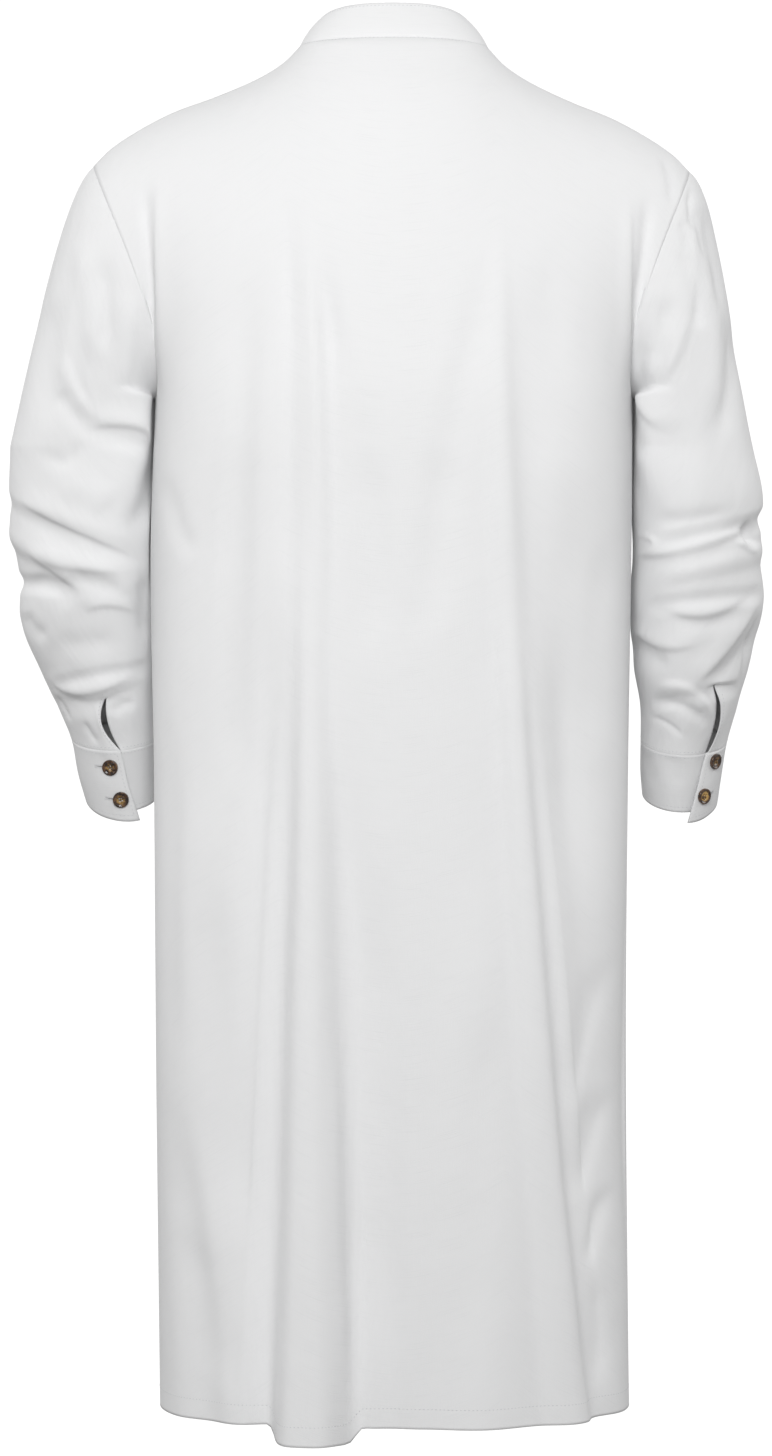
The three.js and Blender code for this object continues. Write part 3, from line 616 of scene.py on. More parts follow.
def panelGrid(face, folds, creases, columns, downs):
    share, down = np.meshgrid(np.linspace(-1, 1, columns), downs)
    base = panelPoint(face, share, down)
    outward = -1 if face == "back" else 1
    fromTop = np.where(down <= 1, down * body["upperRows"],
                       body["upperRows"] + (down - 1) * body["lowerRows"])
    inside = 1 - np.abs(share)
    blades = smooth(down, *even["bladeTop"]) * (1 - smooth(down, *even["bladeFoot"]))
    evenOut(base, blades * smooth(inside, *even["bladeSides"]), even["blades"], 1)
    underarm = np.exp(-((down - 1) / even["underarmHalf"]) ** 2)
    evenOut(base, underarm * smooth(inside, 0, even["underarmHalf"]), even["underarm"], 0)
    calm = smooth(inside, 0, plain["foldSide"]) * smooth(fromTop, 0, plain["foldTop"])
    rise, drop = foldMoves(folds, base[..., 0], base[..., 2])
    grid = base + gridNormals(base) * (outward * rise * calm)[..., None]
    grid[..., 2] -= drop * calm
    small = creaseRise(creases, grid[..., 0], grid[..., 2])
    small = small * smooth(inside, 0, plain["creaseSide"]) * smooth(fromTop, 0, plain["creaseTop"])
    return grid + gridNormals(grid) * (outward * small)[..., None]


def wrappedNormals(grid):
    wide = np.concatenate([grid[:, -2:-1], grid, grid[:, 1:2]], axis=1)
    return gridNormals(wide)[:, 1:-1]


# How far the two edges of a slit swing and part, along it from 0 at its top to 1 at the cuff.
def seamShift(side, turn, along):
    slit = slitShape[side]
    start = slitTurn(side)
    step = 360 / arms["columns"]
    under = np.clip(1 - np.abs(turn - start) / step, 0, 1)
    over = np.clip(1 - (start + 360 - turn) / step, 0, 1)
    swing = throughThree(slit["swing"], along) * slitEdge["swing"]
    parted = slit["open"] * np.sin(np.pi * along) / 2 + slitEdge["parted"]
    return sides[side] * ((over - under) * parted - (over + under) * swing) * (along > 0)


# Creases of a tube are laid on the half that faces their own way, and fade a little past its outline.
def tubeCreases(creases, grid, normals):
    rise = np.zeros(grid.shape[:2])
    for face, way in (("back", 1), ("front", -1)):
        shown = smooth(normals[..., 1] * way, *arms["faceEdge"])
        rise += creaseRise(creases[face], grid[..., 0], grid[..., 2]) * shown
    return rise


tucked = {"under": 0.9, "run": 2.2}


# A row past a grid's end, a little under the cloth that it is sewn to.
def tuckedRow(grid, normals, end, beside):
    away = unit(grid[end] - grid[beside], 1e-6)
    return (grid[end] + away * tucked["run"] - normals[end] * tucked["under"])[None]


def sleeveGrid(side, creases):
    slit = slitShape[side]
    turns = np.linspace(slitTurn(side), slitTurn(side) + 360, arms["gridColumns"])
    headTurn, climb = np.meshgrid(turns, np.linspace(0, 1, arms["gridHead"]))
    armTurn, fallen = np.meshgrid(turns, np.linspace(0, 1, arms["gridArm"])[1:])
    arm = armPoint(side, armTurn, mix(arms["start"], cuff["level"][side], fallen))
    base = np.concatenate([headPoint(side, headTurn, climb), arm])
    turn = np.concatenate([headTurn, armTurn])
    ring = np.concatenate([climb * arms["headRows"], arms["headRows"] + fallen * arms["rings"]])
    last = arms["headRows"] + arms["rings"]
    outward = sides[side]
    calm = smooth(ring, 0, arms["calmHead"]) * (1 - smooth(ring, last - arms["calmWrist"], last))
    folded = armFoldRise(side, turn, base[..., 2]) * calm
    grid = base + wrappedNormals(base) * outward * folded[..., None]
    along = np.clip((ring - (last - slit["rings"])) / slit["rings"], 0, 1)
    grid[..., 0] += seamShift(side, turn, along)
    normals = wrappedNormals(grid) * outward
    edges = smooth(ring, 0, arms["plainHead"]) * (1 - smooth(ring, last - arms["plainWrist"], last))
    grid = grid + normals * (tubeCreases(creases, grid, normals) * edges)[..., None]
    grid = clearBody(side, grid, smooth(ring, 0, arms["clearFrom"]))
    normals = wrappedNormals(grid) * outward
    grid = np.concatenate([tuckedRow(grid, normals, 0, 1), grid, tuckedRow(grid, normals, -1, -2)])
    return grid, int(np.argmax(ring[:, 0] > last - slit["rings"]))


def cuffGrid(side, creases):
    start = slitTurn(side)
    turn, down = np.meshgrid(np.linspace(start - cuff["lap"], start + 360, cuff["columns"]),
                             np.linspace(0, 1, cuff["rows"]))
    past = turn - start
    slant = cuff["skew"][side] * down * smooth(past, cuff["skewFrom"], 360)
    level = mix(cuff["level"][side], cuff["end"], down)
    grid = armPoint(side, turn + slant * (turn > start), level)
    angle = np.radians(turn)
    sunk = (cuff["wall"] + cuff["lie"]) * (turn < start)
    grid[..., 0] -= sides[side] * sunk * np.cos(angle)
    grid[..., 1] -= sunk * np.sin(angle)
    grid[..., 0] += seamShift(side, turn, np.ones_like(turn)) * (1 - smooth(down, 0, cuff["seamFoot"]))
    normals = gridNormals(grid) * sides[side]
    flare = cuff["flare"] * smooth(past, cuff["flareFrom"], 360) * smooth(down, cuff["flareTop"], 1)
    rise = tubeCreases(creases, grid, normals) * smooth(down, 0, cuff["plainTop"]) + flare
    grid = grid + normals * rise[..., None]
    grid[..., 2] -= cuff["drop"] * smooth(past, cuff["dropFrom"], 360) * down
    return clearBody(side, grid)


band = {
    "height": 29, "side": 13, "behind": 6, "ahead": 7, "lap": 10.8, "lapRise": 0.8, "lapTurn": (318, 346),
    "over": 2.8, "overAcross": 0.5, "lean": 6, "dip": 5, "dipRound": 4, "columns": 181, "rows": 14,
}


# The collar runs from 0 at the middle of the front round by the wearer's right, and its left end laps over.
def collarGrid():
    around, height = np.meshgrid(np.linspace(-band["lap"], 360 + band["lap"], band["columns"]),
                                 np.linspace(1, 0, band["rows"]))
    behind = (around > 90) & (around < 270)
    turn = np.radians(np.where(behind, around - 180, np.where(around <= 90, -around, 360 - around)))
    grid = np.where(behind[..., None], necklinePoint("back", turn), necklinePoint("front", turn))
    reach = np.cos(turn)
    lapped = smooth(around, *band["lapTurn"])
    outside = band["over"] * lapped
    grid[..., 0] += outside * np.sin(turn) * band["overAcross"] - band["side"] * height * np.sin(turn)
    grid[..., 0] -= band["lean"] * np.sin(turn) * height ** 2
    grid[..., 1] += np.where(behind, -band["behind"], band["ahead"]) * height * reach
    grid[..., 1] -= outside * np.abs(reach)
    dip = np.abs(np.sin(turn)) ** band["dipRound"] * height ** 2
    crossed = np.where(around < 0, 1, lapped)
    grid[..., 2] += band["lapRise"] * crossed + band["height"] * height - band["dip"] * dip
    return np.concatenate([grid, tuckedRow(grid, -gridNormals(grid), -1, -2)])


placket = {
    "half": 15, "start": 0.019, "end": 1.0867, "slitEnd": 1 + 1 / 15, "wall": 1.2, "lie": 0.6,
    "inside": -1.5, "columns": 13, "rows": 110, "near": 0.05,
}


def stripGrid(lift):
    downs = np.linspace(placket["start"], placket["end"], placket["rows"])
    slope = panelPoint("front", np.full_like(downs, placket["near"]), downs)[:, 0] / placket["near"]
    across = np.linspace(-placket["half"], placket["half"], placket["columns"])
    share = across[None, :] / slope[:, None]
    grid = panelPoint("front", share, np.repeat(downs[:, None], placket["columns"], axis=1))
    return grid + gridNormals(grid) * lift


shells = {}
sewing = {}    # what is sewn on each shell


def arcLengths(grid, axis=0):
    steps = np.linalg.norm(np.diff(grid, axis=axis), axis=-1)
    start = np.zeros_like(np.take(steps, [0], axis=axis))
    return np.concatenate([start, np.cumsum(steps, axis=axis)], axis=axis)


# Faces of a closed shell over an index of its outer face's points, split down one column if asked.
def shellFaces(index, shift, outward, openFrom, slitColumn, slitEnd):
    quads = np.stack([index[:-1, :-1], index[1:, :-1], index[1:, 1:], index[:-1, 1:]], axis=-1)
    kept = np.ones(quads.shape[:2], bool)
    if slitColumn is not None:
        kept[:, slitColumn] = False
    quads = quads[kept]
    edges = [index[0, ::-1], index[-1, :], index[openFrom:, 0], index[openFrom:, -1][::-1]]
    if slitColumn is not None:
        m = slitColumn
        edges = [index[0, m::-1], index[0, :m:-1], np.delete(index[-1], m + 1)] + edges[2:]
        edges += [index[:slitEnd + 1, m + 1], index[:slitEnd + 1, m][::-1]]
    strips = [np.stack([line[1:], line[:-1], line[:-1] + shift, line[1:] + shift], axis=-1)
              for line in edges]
    faces = np.concatenate([quads, quads[:, ::-1] + shift] + strips)
    return faces if outward > 0 else faces[:, ::-1]


# A shell from a grid of points: an outer face, an inner face a wall apart and the edges between them.
# Rows before openFrom join their first column to their last. A slit parts two columns that lie together.
def addShell(name, grid, wall, outward, openFrom=0, slitColumn=None, slitEnd=0):
    rows, columns = grid.shape[:2]
    normals = (wrappedNormals(grid) if openFrom else gridNormals(grid)) * outward
    if slitColumn is not None:
        beside = normals[:, slitColumn - 1] + normals[:, slitColumn + 2]
        normals[:, slitColumn:slitColumn + 2] = unit(beside)[:, None]
    inner = grid - normals * np.broadcast_to(wall, (rows, columns))[..., None]
    flat = np.arange(rows * columns).reshape(rows, columns)
    index = flat.copy()
    if openFrom:
        index[:openFrom + 1, -1] = index[:openFrom + 1, 0]
    if slitColumn is not None:
        index[slitEnd:, slitColumn + 1] = index[slitEnd:, slitColumn]
    faces, places = (shellFaces(corners, rows * columns, outward, openFrom, slitColumn, slitEnd)
                     for corners in (index, flat))
    used, packed = np.unique(faces, return_inverse=True)
    points = np.concatenate([grid.reshape(-1, 3), inner.reshape(-1, 3)])[used] * mm
    mesh = bpy.data.meshes.new(name)
    mesh.from_pydata(points.tolist(), [], packed.reshape(faces.shape).tolist())
    across = arcLengths(grid, 1)
    flatPlace = np.stack([across - across[:, [columns // 2]], -arcLengths(grid)], axis=-1)
    flatPlace = np.concatenate([flatPlace.reshape(-1, 2)] * 2) * mm
    layer = mesh.uv_layers.new(name="cloth")
    layer.data.foreach_set("uv", flatPlace[places.reshape(-1)].astype(np.float32).reshape(-1))
    mesh.shade_smooth()
    piece = bpy.data.objects.new(name, mesh)
    scene.collection.objects.link(piece)
    shells[name] = {"grid": grid, "normals": normals}
    sewing[name] = []
    return piece


# A place and normal on a shell by fractions of its rows and columns.
def shellSpot(name, row, column):
    shell = shells[name]
    rows, columns = shell["grid"].shape[:2]
    row = np.clip(np.asarray(row, float) * (rows - 1), 0, rows - 1.001)
    column = np.clip(np.asarray(column, float) * (columns - 1), 0, columns - 1.001)
    r, c = row.astype(int), column.astype(int)
    dr, dc = (row - r)[..., None], (column - c)[..., None]
    found = []
    for values in (shell["grid"], shell["normals"]):
        above = mix(values[r, c], values[r, c + 1], dc)
        below = mix(values[r + 1, c], values[r + 1, c + 1], dc)
        found.append(mix(above, below, dr))
    place, normal = found
    return place, unit(normal)


print("materials")
cloth = {
    "white": (0.85, 0.852, 0.856), "slub": (0.80, 0.804, 0.812), "slubShow": 0.6, "threadShow": 0.3,
    "roughness": 0.83, "threadRough": 0.1, "sheen": 0.12,
    "threads": 2300, "runs": 60, "threadDepth": 0.00009,
    "slubs": (30, 1500, 1), "slubFrom": (0.55, 0.8), "slubDepth": 0.00005,
    "crumple": (20, 14, 1), "crumpleDepth": 0.0022,
}


def newMaterial(name, settings):
    material = bpy.data.materials.new(name)
    material.use_nodes = True
    shader = material.node_tree.nodes["Principled BSDF"]
    for key, value in settings.items():
        shader.inputs[key].default_value = value
    return material, Sum(material.node_tree), shader


# Slubbed plain weave, with the small crumples of worn linen. Its last argument, below 1, darkens its whites
# as painted shade.
def clothMaterial(name, crumple, paintedShade=1.0):
    material, paint, shader = newMaterial(name, {
        "Sheen Weight": cloth["sheen"], "Sheen Roughness": 0.5, "Specular IOR Level": 0.25,
    })
    grain = paint.node("ShaderNodeUVMap", {}, uv_map="cloth")
    warp = grain.scaled((cloth["threads"], cloth["runs"], 1)).noise(1.0, 2.0)
    weft = grain.scaled((cloth["runs"], cloth["threads"], 1)).noise(1.0, 2.0)
    threads = warp.math("MAXIMUM", warp, weft)
    slubs = grain.scaled(cloth["slubs"]).noise(1.0, 1.0).step(*cloth["slubFrom"])
    white, slub = ([part * paintedShade for part in cloth[key]] for key in ("white", "slub"))
    shown = slubs * cloth["slubShow"] + threads * cloth["threadShow"]
    shown.mixed(white, slub).to(shader.inputs["Base Color"])
    (threads * cloth["threadRough"] + cloth["roughness"]).to(shader.inputs["Roughness"])
    soft = grain.scaled(cloth["crumple"]).noise(1.0, 3.0, 0.5)
    height = threads * cloth["threadDepth"] + slubs * cloth["slubDepth"]
    height = height + soft * (cloth["crumpleDepth"] * crumple)
    bump = paint.node("ShaderNodeBump", {"Distance": 1, "Strength": 1, "Height": height})
    bump.to(shader.inputs["Normal"])
    return material


shirtCloth = clothMaterial("white linen", 0.6)
sleeveCloth = clothMaterial("white linen, rumpled", 1.0)
bandCloth = clothMaterial("white linen, doubled", 0.5)
# The cuffs' whites are darkened to 0.9 as painted shade, for the shade that falls on the lower arms.
cuffClothPaintedShade = clothMaterial("white linen, cuffs, painted shade", 0.9, 0.9)
# The stitch thread is greyer than the cloth: white thread, darkened as painted shade along each line of
# stitching.
stitchThreadPaintedShade = newMaterial("white thread, painted shade", {"Base Color": (0.62, 0.63, 0.65, 1), "Roughness": 0.7})[0]
threadBrown = newMaterial("brown thread", {"Base Color": (0.09, 0.05, 0.03, 1), "Roughness": 0.7})[0]
# A dark sheet in each buttonhole's slit is painted shade.
slitPaintedShade = newMaterial("buttonhole slit, painted shade", {"Base Color": (0.2, 0.2, 0.21, 1), "Roughness": 0.9})[0]


# A trough (rise below 0) or a ridge along a curve through three places, across and level. A lean makes
# one flank long and the other steep, and a sharp one has a narrow crest.
def creaseOf(rise, half, *path, lean=0, sharp=False):
    return {"rise": rise, "half": half, "path": path, "lean": lean, "sharp": sharp}


backCreases = {
    "pipeCrest": creaseOf(2.8, (6, 9), (70, -135), (62, -320), (58, -545)),
    "pipeLeftEdge": creaseOf(-3.8, (8, 13), (86, -120), (83, -300), (88, -510)),
    "pipeLeftFoot": creaseOf(-9.5, (18, 28), (92, -430), (112, -750), (120, -1143)),
    "pipeRightEdge": creaseOf(-3, (8, 12), (55, -180), (50, -325), (47, -510)),
    "pipeRightFoot": creaseOf(-8, (12, 17), (43, -545), (32, -845), (26, -1143), lean=-0.4),
    "pipeRightCrest": creaseOf(3, (7, 8), (47, -785), (42, -960), (40, -1143), lean=0.5),
    "bladePatchLeft": creaseOf(-2.6, 25, (26, -335), (18, -425), (20, -525)),
    "bladePatchRight": creaseOf(-2.2, 22, (-36, -335), (-38, -405), (-33, -495)),
    "midHollow": creaseOf(-3.6, (22, 28), (18, -670), (21, -865), (18, -1105)),
    "rightCrestUpper": creaseOf(2.8, (9, 13), (-85, -135), (-86, -300), (-91, -480)),
    "rightCrestLower": creaseOf(4.4, (14, 19), (-90, -400), (-104, -685), (-121, -1025)),
    "rightSlopeUpper": creaseOf(-4.5, (20, 26), (-107, -190), (-113, -360), (-124, -545)),
    "rightSlopeLower": creaseOf(-11, (28, 34), (-126, -430), (-158, -705), (-178, -1060)),
    "rightSlopeFoot": creaseOf(-5.5, (16, 20), (-146, -845), (-166, -990), (-174, -1135)),
    "rightBroad": creaseOf(-7.5, (32, 38), (-140, -350), (-150, -525), (-158, -720)),
    "broadLeftFlank": creaseOf(-3.6, (22, 28), (-78, -750), (-69, -925), (-57, -1120)),
    "leftYoke": creaseOf(-2.2, (20, 26), (119, -165), (125, -300), (130, -430)),
    "leftBroad": creaseOf(-7.5, (30, 38), (130, -320), (144, -510), (162, -720)),
    "leftLowSoft": creaseOf(-4.5, (22, 26), (156, -640), (143, -830), (132, -990)),
    "leftHemLean": creaseOf(-2, (18, 20), (170, -960), (150, -1035), (134, -1105)),
    "leftEdgeSoft": creaseOf(-2.4, 12, (184, -545), (183, -705), (181, -865)),
    "rightShoulderSoft": creaseOf(-2.4, (16, 22), (-123, -165), (-129, -255), (-133, -360)),
    "edgeLeanOne": creaseOf(-2.6, (11, 13), (-182, -745), (-163, -815), (-144, -880), lean=0.4),
    "edgeLeanTwo": creaseOf(-2.6, (11, 12), (-184, -855), (-166, -905), (-150, -955), lean=0.4),
    "edgeLeanThree": creaseOf(-2.6, 8, (-182, -935), (-169, -970), (-158, -1007)),
    "edgeLeanFour": creaseOf(-1.8, 9, (-165, -1010), (-169, -1055), (-165, -1105)),
    "sideDimpleLeft": creaseOf(-2, 10, (188, -350), (178, -395), (162, -430)),
    "sideSoftRight": creaseOf(-2, (12, 16), (-174, -400), (-169, -495), (-173, -590)),
    "sideLineLeft": creaseOf(3, 5, (193, -102), (193, -190), (192, -298), lean=-0.5),
    "sideHollowLeft": creaseOf(-3.4, (7, 5), (205, -110), (201, -175), (196, -255)),
    "yokePullRight": creaseOf(-2.4, 6, (-222, -90), (-228, -112), (-227, -142)),
    "sideLineRight": creaseOf(3, 5, (-192, -125), (-191, -205), (-190, -298), lean=0.5),
    "sideHollowRight": creaseOf(-3.4, (8, 5), (-208, -123), (-204, -175), (-196, -238)),
}
frontCreases = {
    "chestSoftLeft": creaseOf(-2.2, (12, 16), (60, -150), (74, -260), (66, -400)),
    "chestSoftRight": creaseOf(-2, (11, 15), (-66, -140), (-84, -250), (-72, -380)),
    "collarPullLeft": creaseOf(-1.8, (7, 11), (58, -40), (84, -110), (120, -190)),
    "collarPullRight": creaseOf(-1.6, (7, 11), (-60, -44), (-90, -120), (-118, -200)),
    "armpitPullLeft": creaseOf(-2.2, (7, 10), (186, -262), (150, -300), (112, -330)),
    "armpitPullRight": creaseOf(-2, (7, 10), (-186, -258), (-146, -290), (-104, -338)),
    "leftPipeCrest": creaseOf(2, (7, 11), (104, -620), (98, -850), (93, -1110)),
    "leftPipeShade": creaseOf(-3, (10, 14), (124, -640), (124, -880), (126, -1115), lean=0.3),
    "leftPipeInner": creaseOf(-2.4, (9, 12), (80, -660), (72, -880), (66, -1115)),
    "middleShade": creaseOf(-2, (12, 17), (20, -480), (26, -760), (24, -1090)),
    "rightPipeShade": creaseOf(-2.8, (9, 13), (-92, -640), (-92, -880), (-94, -1112), lean=-0.3),
    "rightPipeOuter": creaseOf(-2.4, (10, 13), (-140, -680), (-146, -900), (-152, -1110)),
    "slitFootPullLeft": creaseOf(-1.6, (6, 10), (16, -392), (34, -450), (60, -520)),
    "slitFootPullRight": creaseOf(-1.5, (6, 10), (-16, -394), (-30, -460), (-44, -560)),
    "edgeLeanLeft": creaseOf(-2, 9, (184, -760), (164, -830), (150, -900), lean=0.3),
    "edgeLeanRight": creaseOf(-2, 9, (-184, -880), (-162, -930), (-146, -1000), lean=0.3),
}
sleeveCreases = {
    "left": {"back": {
        "upperCrest": creaseOf(3.4, 12, (258, -155), (249, -215), (246, -270)),
        "upperShade": creaseOf(-3.6, 9, (236, -180), (236, -222), (238, -262)),
        "underSeam": creaseOf(2.2, 10, (220, -205), (218, -250), (227, -296)),
        "outerHollow": creaseOf(-3.6, 15, (278, -205), (284, -262), (280, -325)),
        "cornerLean": creaseOf(2.4, 6, (270, -255), (263, -284), (246, -310), lean=0.7),
        "cornerShade": creaseOf(-2.8, 10, (278, -288), (267, -302), (254, -320)),
        "armpitArc": creaseOf(3, 6, (254, -322), (222, -316), (197, -346), lean=-0.8),
        "armpitShade": creaseOf(-4.2, 11, (216, -336), (203, -372), (224, -406)),
        "crescent": creaseOf(-2, 9, (292, -330), (273, -346), (255, -326)),
        "elbowBulge": creaseOf(2.2, 15, (280, -362), (252, -372), (232, -384)),
        "elbowLip": creaseOf(4, 7, (316, -372), (264, -399), (203, -427), lean=-0.8),
        "elbowFold": creaseOf(-1.4, 9, (312, -388), (267, -412), (229, -430)),
        "bandEdge": creaseOf(2.8, 6, (309, -414), (280, -434), (256, -454), lean=-0.7),
        "bandEdgeTwo": creaseOf(2, 6, (300, -416), (262, -432), (204, -434), lean=-0.6),
        "bandShade": creaseOf(-3, 11, (300, -436), (280, -450), (262, -464)),
        "underBand": creaseOf(-2.4, 9, (274, -440), (246, -444), (222, -452)),
        "foreRidge": creaseOf(2.2, 6, (256, -470), (238, -462), (206, -470), lean=-0.6),
        "foreDip": creaseOf(-2.4, 8, (309, -466), (301, -482), (285, -490)),
        "foreSoft": creaseOf(-2, 12, (286, -494), (256, -496), (222, -490)),
        "wristArc": creaseOf(2.8, 6, (290, -516), (258, -535), (203, -510), lean=-0.7),
        "wristShade": creaseOf(-3, 7, (284, -532), (250, -545), (204, -524), lean=0.4),
        "tuckOne": creaseOf(-2.2, 4, (284, -537), (278, -548), (270, -561), sharp=True),
        "tuckTwo": creaseOf(-2.2, 4, (260, -558), (254, -570), (247, -580), sharp=True),
        "slitPucker": creaseOf(-1.8, 5, (235, -555), (225, -547), (213, -543)),
        "innerShade": creaseOf(-4, 8, (199, -290), (197, -322), (199, -378)),
        "innerLow": creaseOf(-3, 8, (204, -428), (207, -466), (204, -492)),
    }, "front": {
        "upperCrest": creaseOf(2.2, 10, (250, -150), (268, -220), (270, -300)),
        "upperShade": creaseOf(-2.4, 9, (236, -170), (246, -240), (240, -310)),
        "armpitArc": creaseOf(2.2, 7, (204, -300), (232, -312), (262, -344), lean=0.4),
        "armpitShade": creaseOf(-2.4, 7, (204, -314), (234, -328), (260, -362)),
        "elbowLip": creaseOf(3, 6, (206, -372), (256, -392), (318, -430), lean=0.5),
        "elbowFold": creaseOf(-3.4, 8, (206, -384), (256, -406), (316, -442)),
        "foreRidge": creaseOf(2, 7, (210, -452), (246, -470), (296, -468), lean=0.3),
        "foreShade": creaseOf(-2.4, 8, (210, -464), (246, -484), (296, -484)),
        "wristArc": creaseOf(-2.2, 6, (206, -536), (236, -548), (270, -532)),
    }},
    "right": {"back": {
        "seamPullTwo": creaseOf(-3.2, 5, (-245, -116), (-244, -136), (-247, -160), sharp=True),
        "seamPullThree": creaseOf(-2.6, 5, (-246, -134), (-252, -156), (-258, -184)),
        "seamPullFour": creaseOf(-1.8, 6, (-233, -149), (-239, -160), (-239, -182)),
        "shoulderFold": creaseOf(-3.6, 7, (-252, -130), (-264, -176), (-265, -230)),
        "longRidge": creaseOf(2.6, 8, (-244, -140), (-238, -234), (-208, -292), lean=0.6),
        "longShade": creaseOf(-3.2, 13, (-226, -210), (-216, -243), (-205, -274)),
        "armpitLean": creaseOf(2.8, 6, (-206, -288), (-216, -302), (-232, -326), lean=-0.7),
        "armpitShade": creaseOf(-3.6, 10, (-202, -303), (-208, -322), (-215, -346)),
        "outerRidge": creaseOf(3.2, 13, (-256, -165), (-262, -247), (-256, -330)),
        "outerShade": creaseOf(-3.4, 10, (-277, -222), (-277, -280), (-262, -338)),
        "elbowLip": creaseOf(4, 6, (-196, -420), (-247, -416), (-308, -391), lean=-0.7),
        "elbowFold": creaseOf(-1.6, 9, (-206, -433), (-247, -427), (-288, -412)),
        "elbowUpper": creaseOf(-2.4, 9, (-210, -393), (-243, -394), (-284, -386)),
        "elbowPocket": creaseOf(-7, 6, (-286, -396), (-293, -404), (-302, -417)),
        "pocketFlap": creaseOf(2.2, 4, (-283, -410), (-291, -415), (-303, -420), lean=-0.5),
        "smallLoop": creaseOf(2.2, 4, (-197, -404), (-216, -412), (-198, -427), sharp=True),
        "foreRidge": creaseOf(2.2, 6, (-215, -459), (-258, -471), (-298, -446), lean=-0.6),
        "foreShade": creaseOf(-2.2, 9, (-221, -469), (-260, -479), (-296, -461)),
        "foreInner": creaseOf(2.2, 6, (-197, -474), (-220, -496), (-257, -492), lean=-0.6),
        "foreInnerShade": creaseOf(-3, 10, (-197, -489), (-212, -504), (-231, -515)),
        "longLean": creaseOf(3, 6, (-246, -530), (-275, -500), (-308, -450), lean=-0.7),
        "longLeanShade": creaseOf(-3.6, 9, (-258, -533), (-284, -509), (-309, -476)),
        "edgeFold": creaseOf(-3.6, 5, (-306, -467), (-297, -500), (-288, -552), sharp=True),
        "wristArc": creaseOf(2.4, 5, (-213, -533), (-246, -533), (-272, -565), lean=0.6),
        "wristArcShade": creaseOf(-2.6, 6, (-215, -545), (-242, -548), (-262, -565)),
        "wristLow": creaseOf(-2, 4, (-213, -555), (-229, -562), (-244, -575), sharp=True),
    }, "front": {
        "upperCrest": creaseOf(2, 10, (-238, -160), (-254, -240), (-262, -320)),
        "upperShade": creaseOf(-2.2, 9, (-222, -190), (-230, -260), (-226, -320)),
        "armpitLean": creaseOf(2, 7, (-204, -286), (-226, -302), (-246, -338), lean=-0.4),
        "elbowLip": creaseOf(3, 6, (-204, -380), (-250, -394), (-304, -410), lean=-0.5),
        "elbowFold": creaseOf(-3.4, 8, (-206, -392), (-250, -406), (-302, -424)),
        "foreRidge": creaseOf(2, 7, (-206, -448), (-250, -456), (-300, -452), lean=-0.3),
        "foreShade": creaseOf(-2.4, 8, (-206, -460), (-250, -470), (-298, -468)),
        "wristArc": creaseOf(-2, 6, (-212, -546), (-240, -556), (-272, -546)),
    }},
}
cuffCreases = {
    "left": {"back": {
        "middle": creaseOf(-1.2, 8, (284, -578), (279, -598), (275, -618)),
        "beside": creaseOf(-1, 6, (247, -577), (243, -590), (240, -608)),
    }, "front": {"soft": creaseOf(-1, 9, (250, -578), (252, -600), (256, -618))}},
    "right": {"back": {
        "middle": creaseOf(-1.2, 8, (-232, -580), (-236, -598), (-238, -618)),
        "beside": creaseOf(-1, 6, (-212, -582), (-215, -600), (-219, -616)),
    }, "front": {"soft": creaseOf(-1, 9, (-246, -580), (-250, -600), (-254, -618))}},
}

print("body")
cut = {"cloth": 0.9, "band": 2.0, "hem": 16, "hemFold": 0.7, "closing": 1.12}
panels = {
    "back": {"columns": 155, "rows": (104, 196)},
    "front": {"columns": 135, "rows": (76, 150), "slitColumn": 67, "parted": 0.3},
}


# Rows of a panel: from its top to the underarm, on to the hem, closer together near the hem.
def panelRows(upper, lower):
    fall = np.linspace(0, 1, lower)[1:]
    return np.concatenate([np.linspace(0, 1, upper), 2 - (1 - fall) ** cut["closing"]])


def wear(piece, material, node):
    piece.data.materials.append(material)
    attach(piece, "root")
    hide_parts(node)
    return piece


def hemWall(grid):
    above = grid[..., 2] - grid[-1:, :, 2]
    return cut["cloth"] + cut["hemFold"] * (1 - smooth(above, cut["hem"] - 1, cut["hem"] + 1))


def addBack():
    size = panels["back"]
    grid = panelGrid("back", backFolds, backCreases, size["columns"], panelRows(*size["rows"]))
    return wear(addShell("back_panel", grid, hemWall(grid), -1), shirtCloth, "back")


def addFront():
    size = panels["front"]
    downs = panelRows(*size["rows"])
    grid = panelGrid("front", frontFolds, frontCreases, size["columns"], downs)
    slit = size["slitColumn"]
    slitEnd = int(np.searchsorted(downs, placket["slitEnd"]))
    grid = np.insert(grid, slit + 1, grid[:, slit], axis=1)
    grid[:slitEnd, slit, 0] -= size["parted"]
    grid[:slitEnd, slit + 1, 0] += size["parted"]
    piece = addShell("front_panel", grid, hemWall(grid), 1, slitColumn=slit, slitEnd=slitEnd)
    return wear(piece, shirtCloth, "front")


back = addBack()
front = addFront()

print("sleeves and cuffs")


def addSleeve(side):
    grid, opened = sleeveGrid(side, sleeveCreases[side])
    piece = addShell("sleeve_cloth_" + side, grid, cut["cloth"], sides[side], openFrom=opened)
    return wear(piece, sleeveCloth, "sleeve_" + side)


def addCuff(side):
    piece = addShell("cuff_band_" + side, cuffGrid(side, cuffCreases[side]), cut["band"], sides[side])
    return wear(piece, cuffClothPaintedShade, "cuff_" + side)


for side in sides:
    addSleeve(side)
    addCuff(side)

print("collar and placket")
collar = wear(addShell("collar_band", collarGrid(), cut["band"], -1), bandCloth, "collar")
strips = {}
for name, lift in (("top", placket["lie"] + placket["wall"]), ("under", placket["inside"] - placket["lie"])):
    strips[name] = addShell("placket_strip_" + name, stripGrid(lift), placket["wall"], 1)
    wear(strips[name], bandCloth, "placket_" + name)

print("stitches")
thread = {
    "stitch": 2.6, "gap": 0.7, "first": 0.12, "half": 0.24, "flat": 0.8, "dip": 0.15, "lift": 0.1,
    "steps": 600, "hemEnds": (0.004, 0.996), "hemMarks": 24,
}


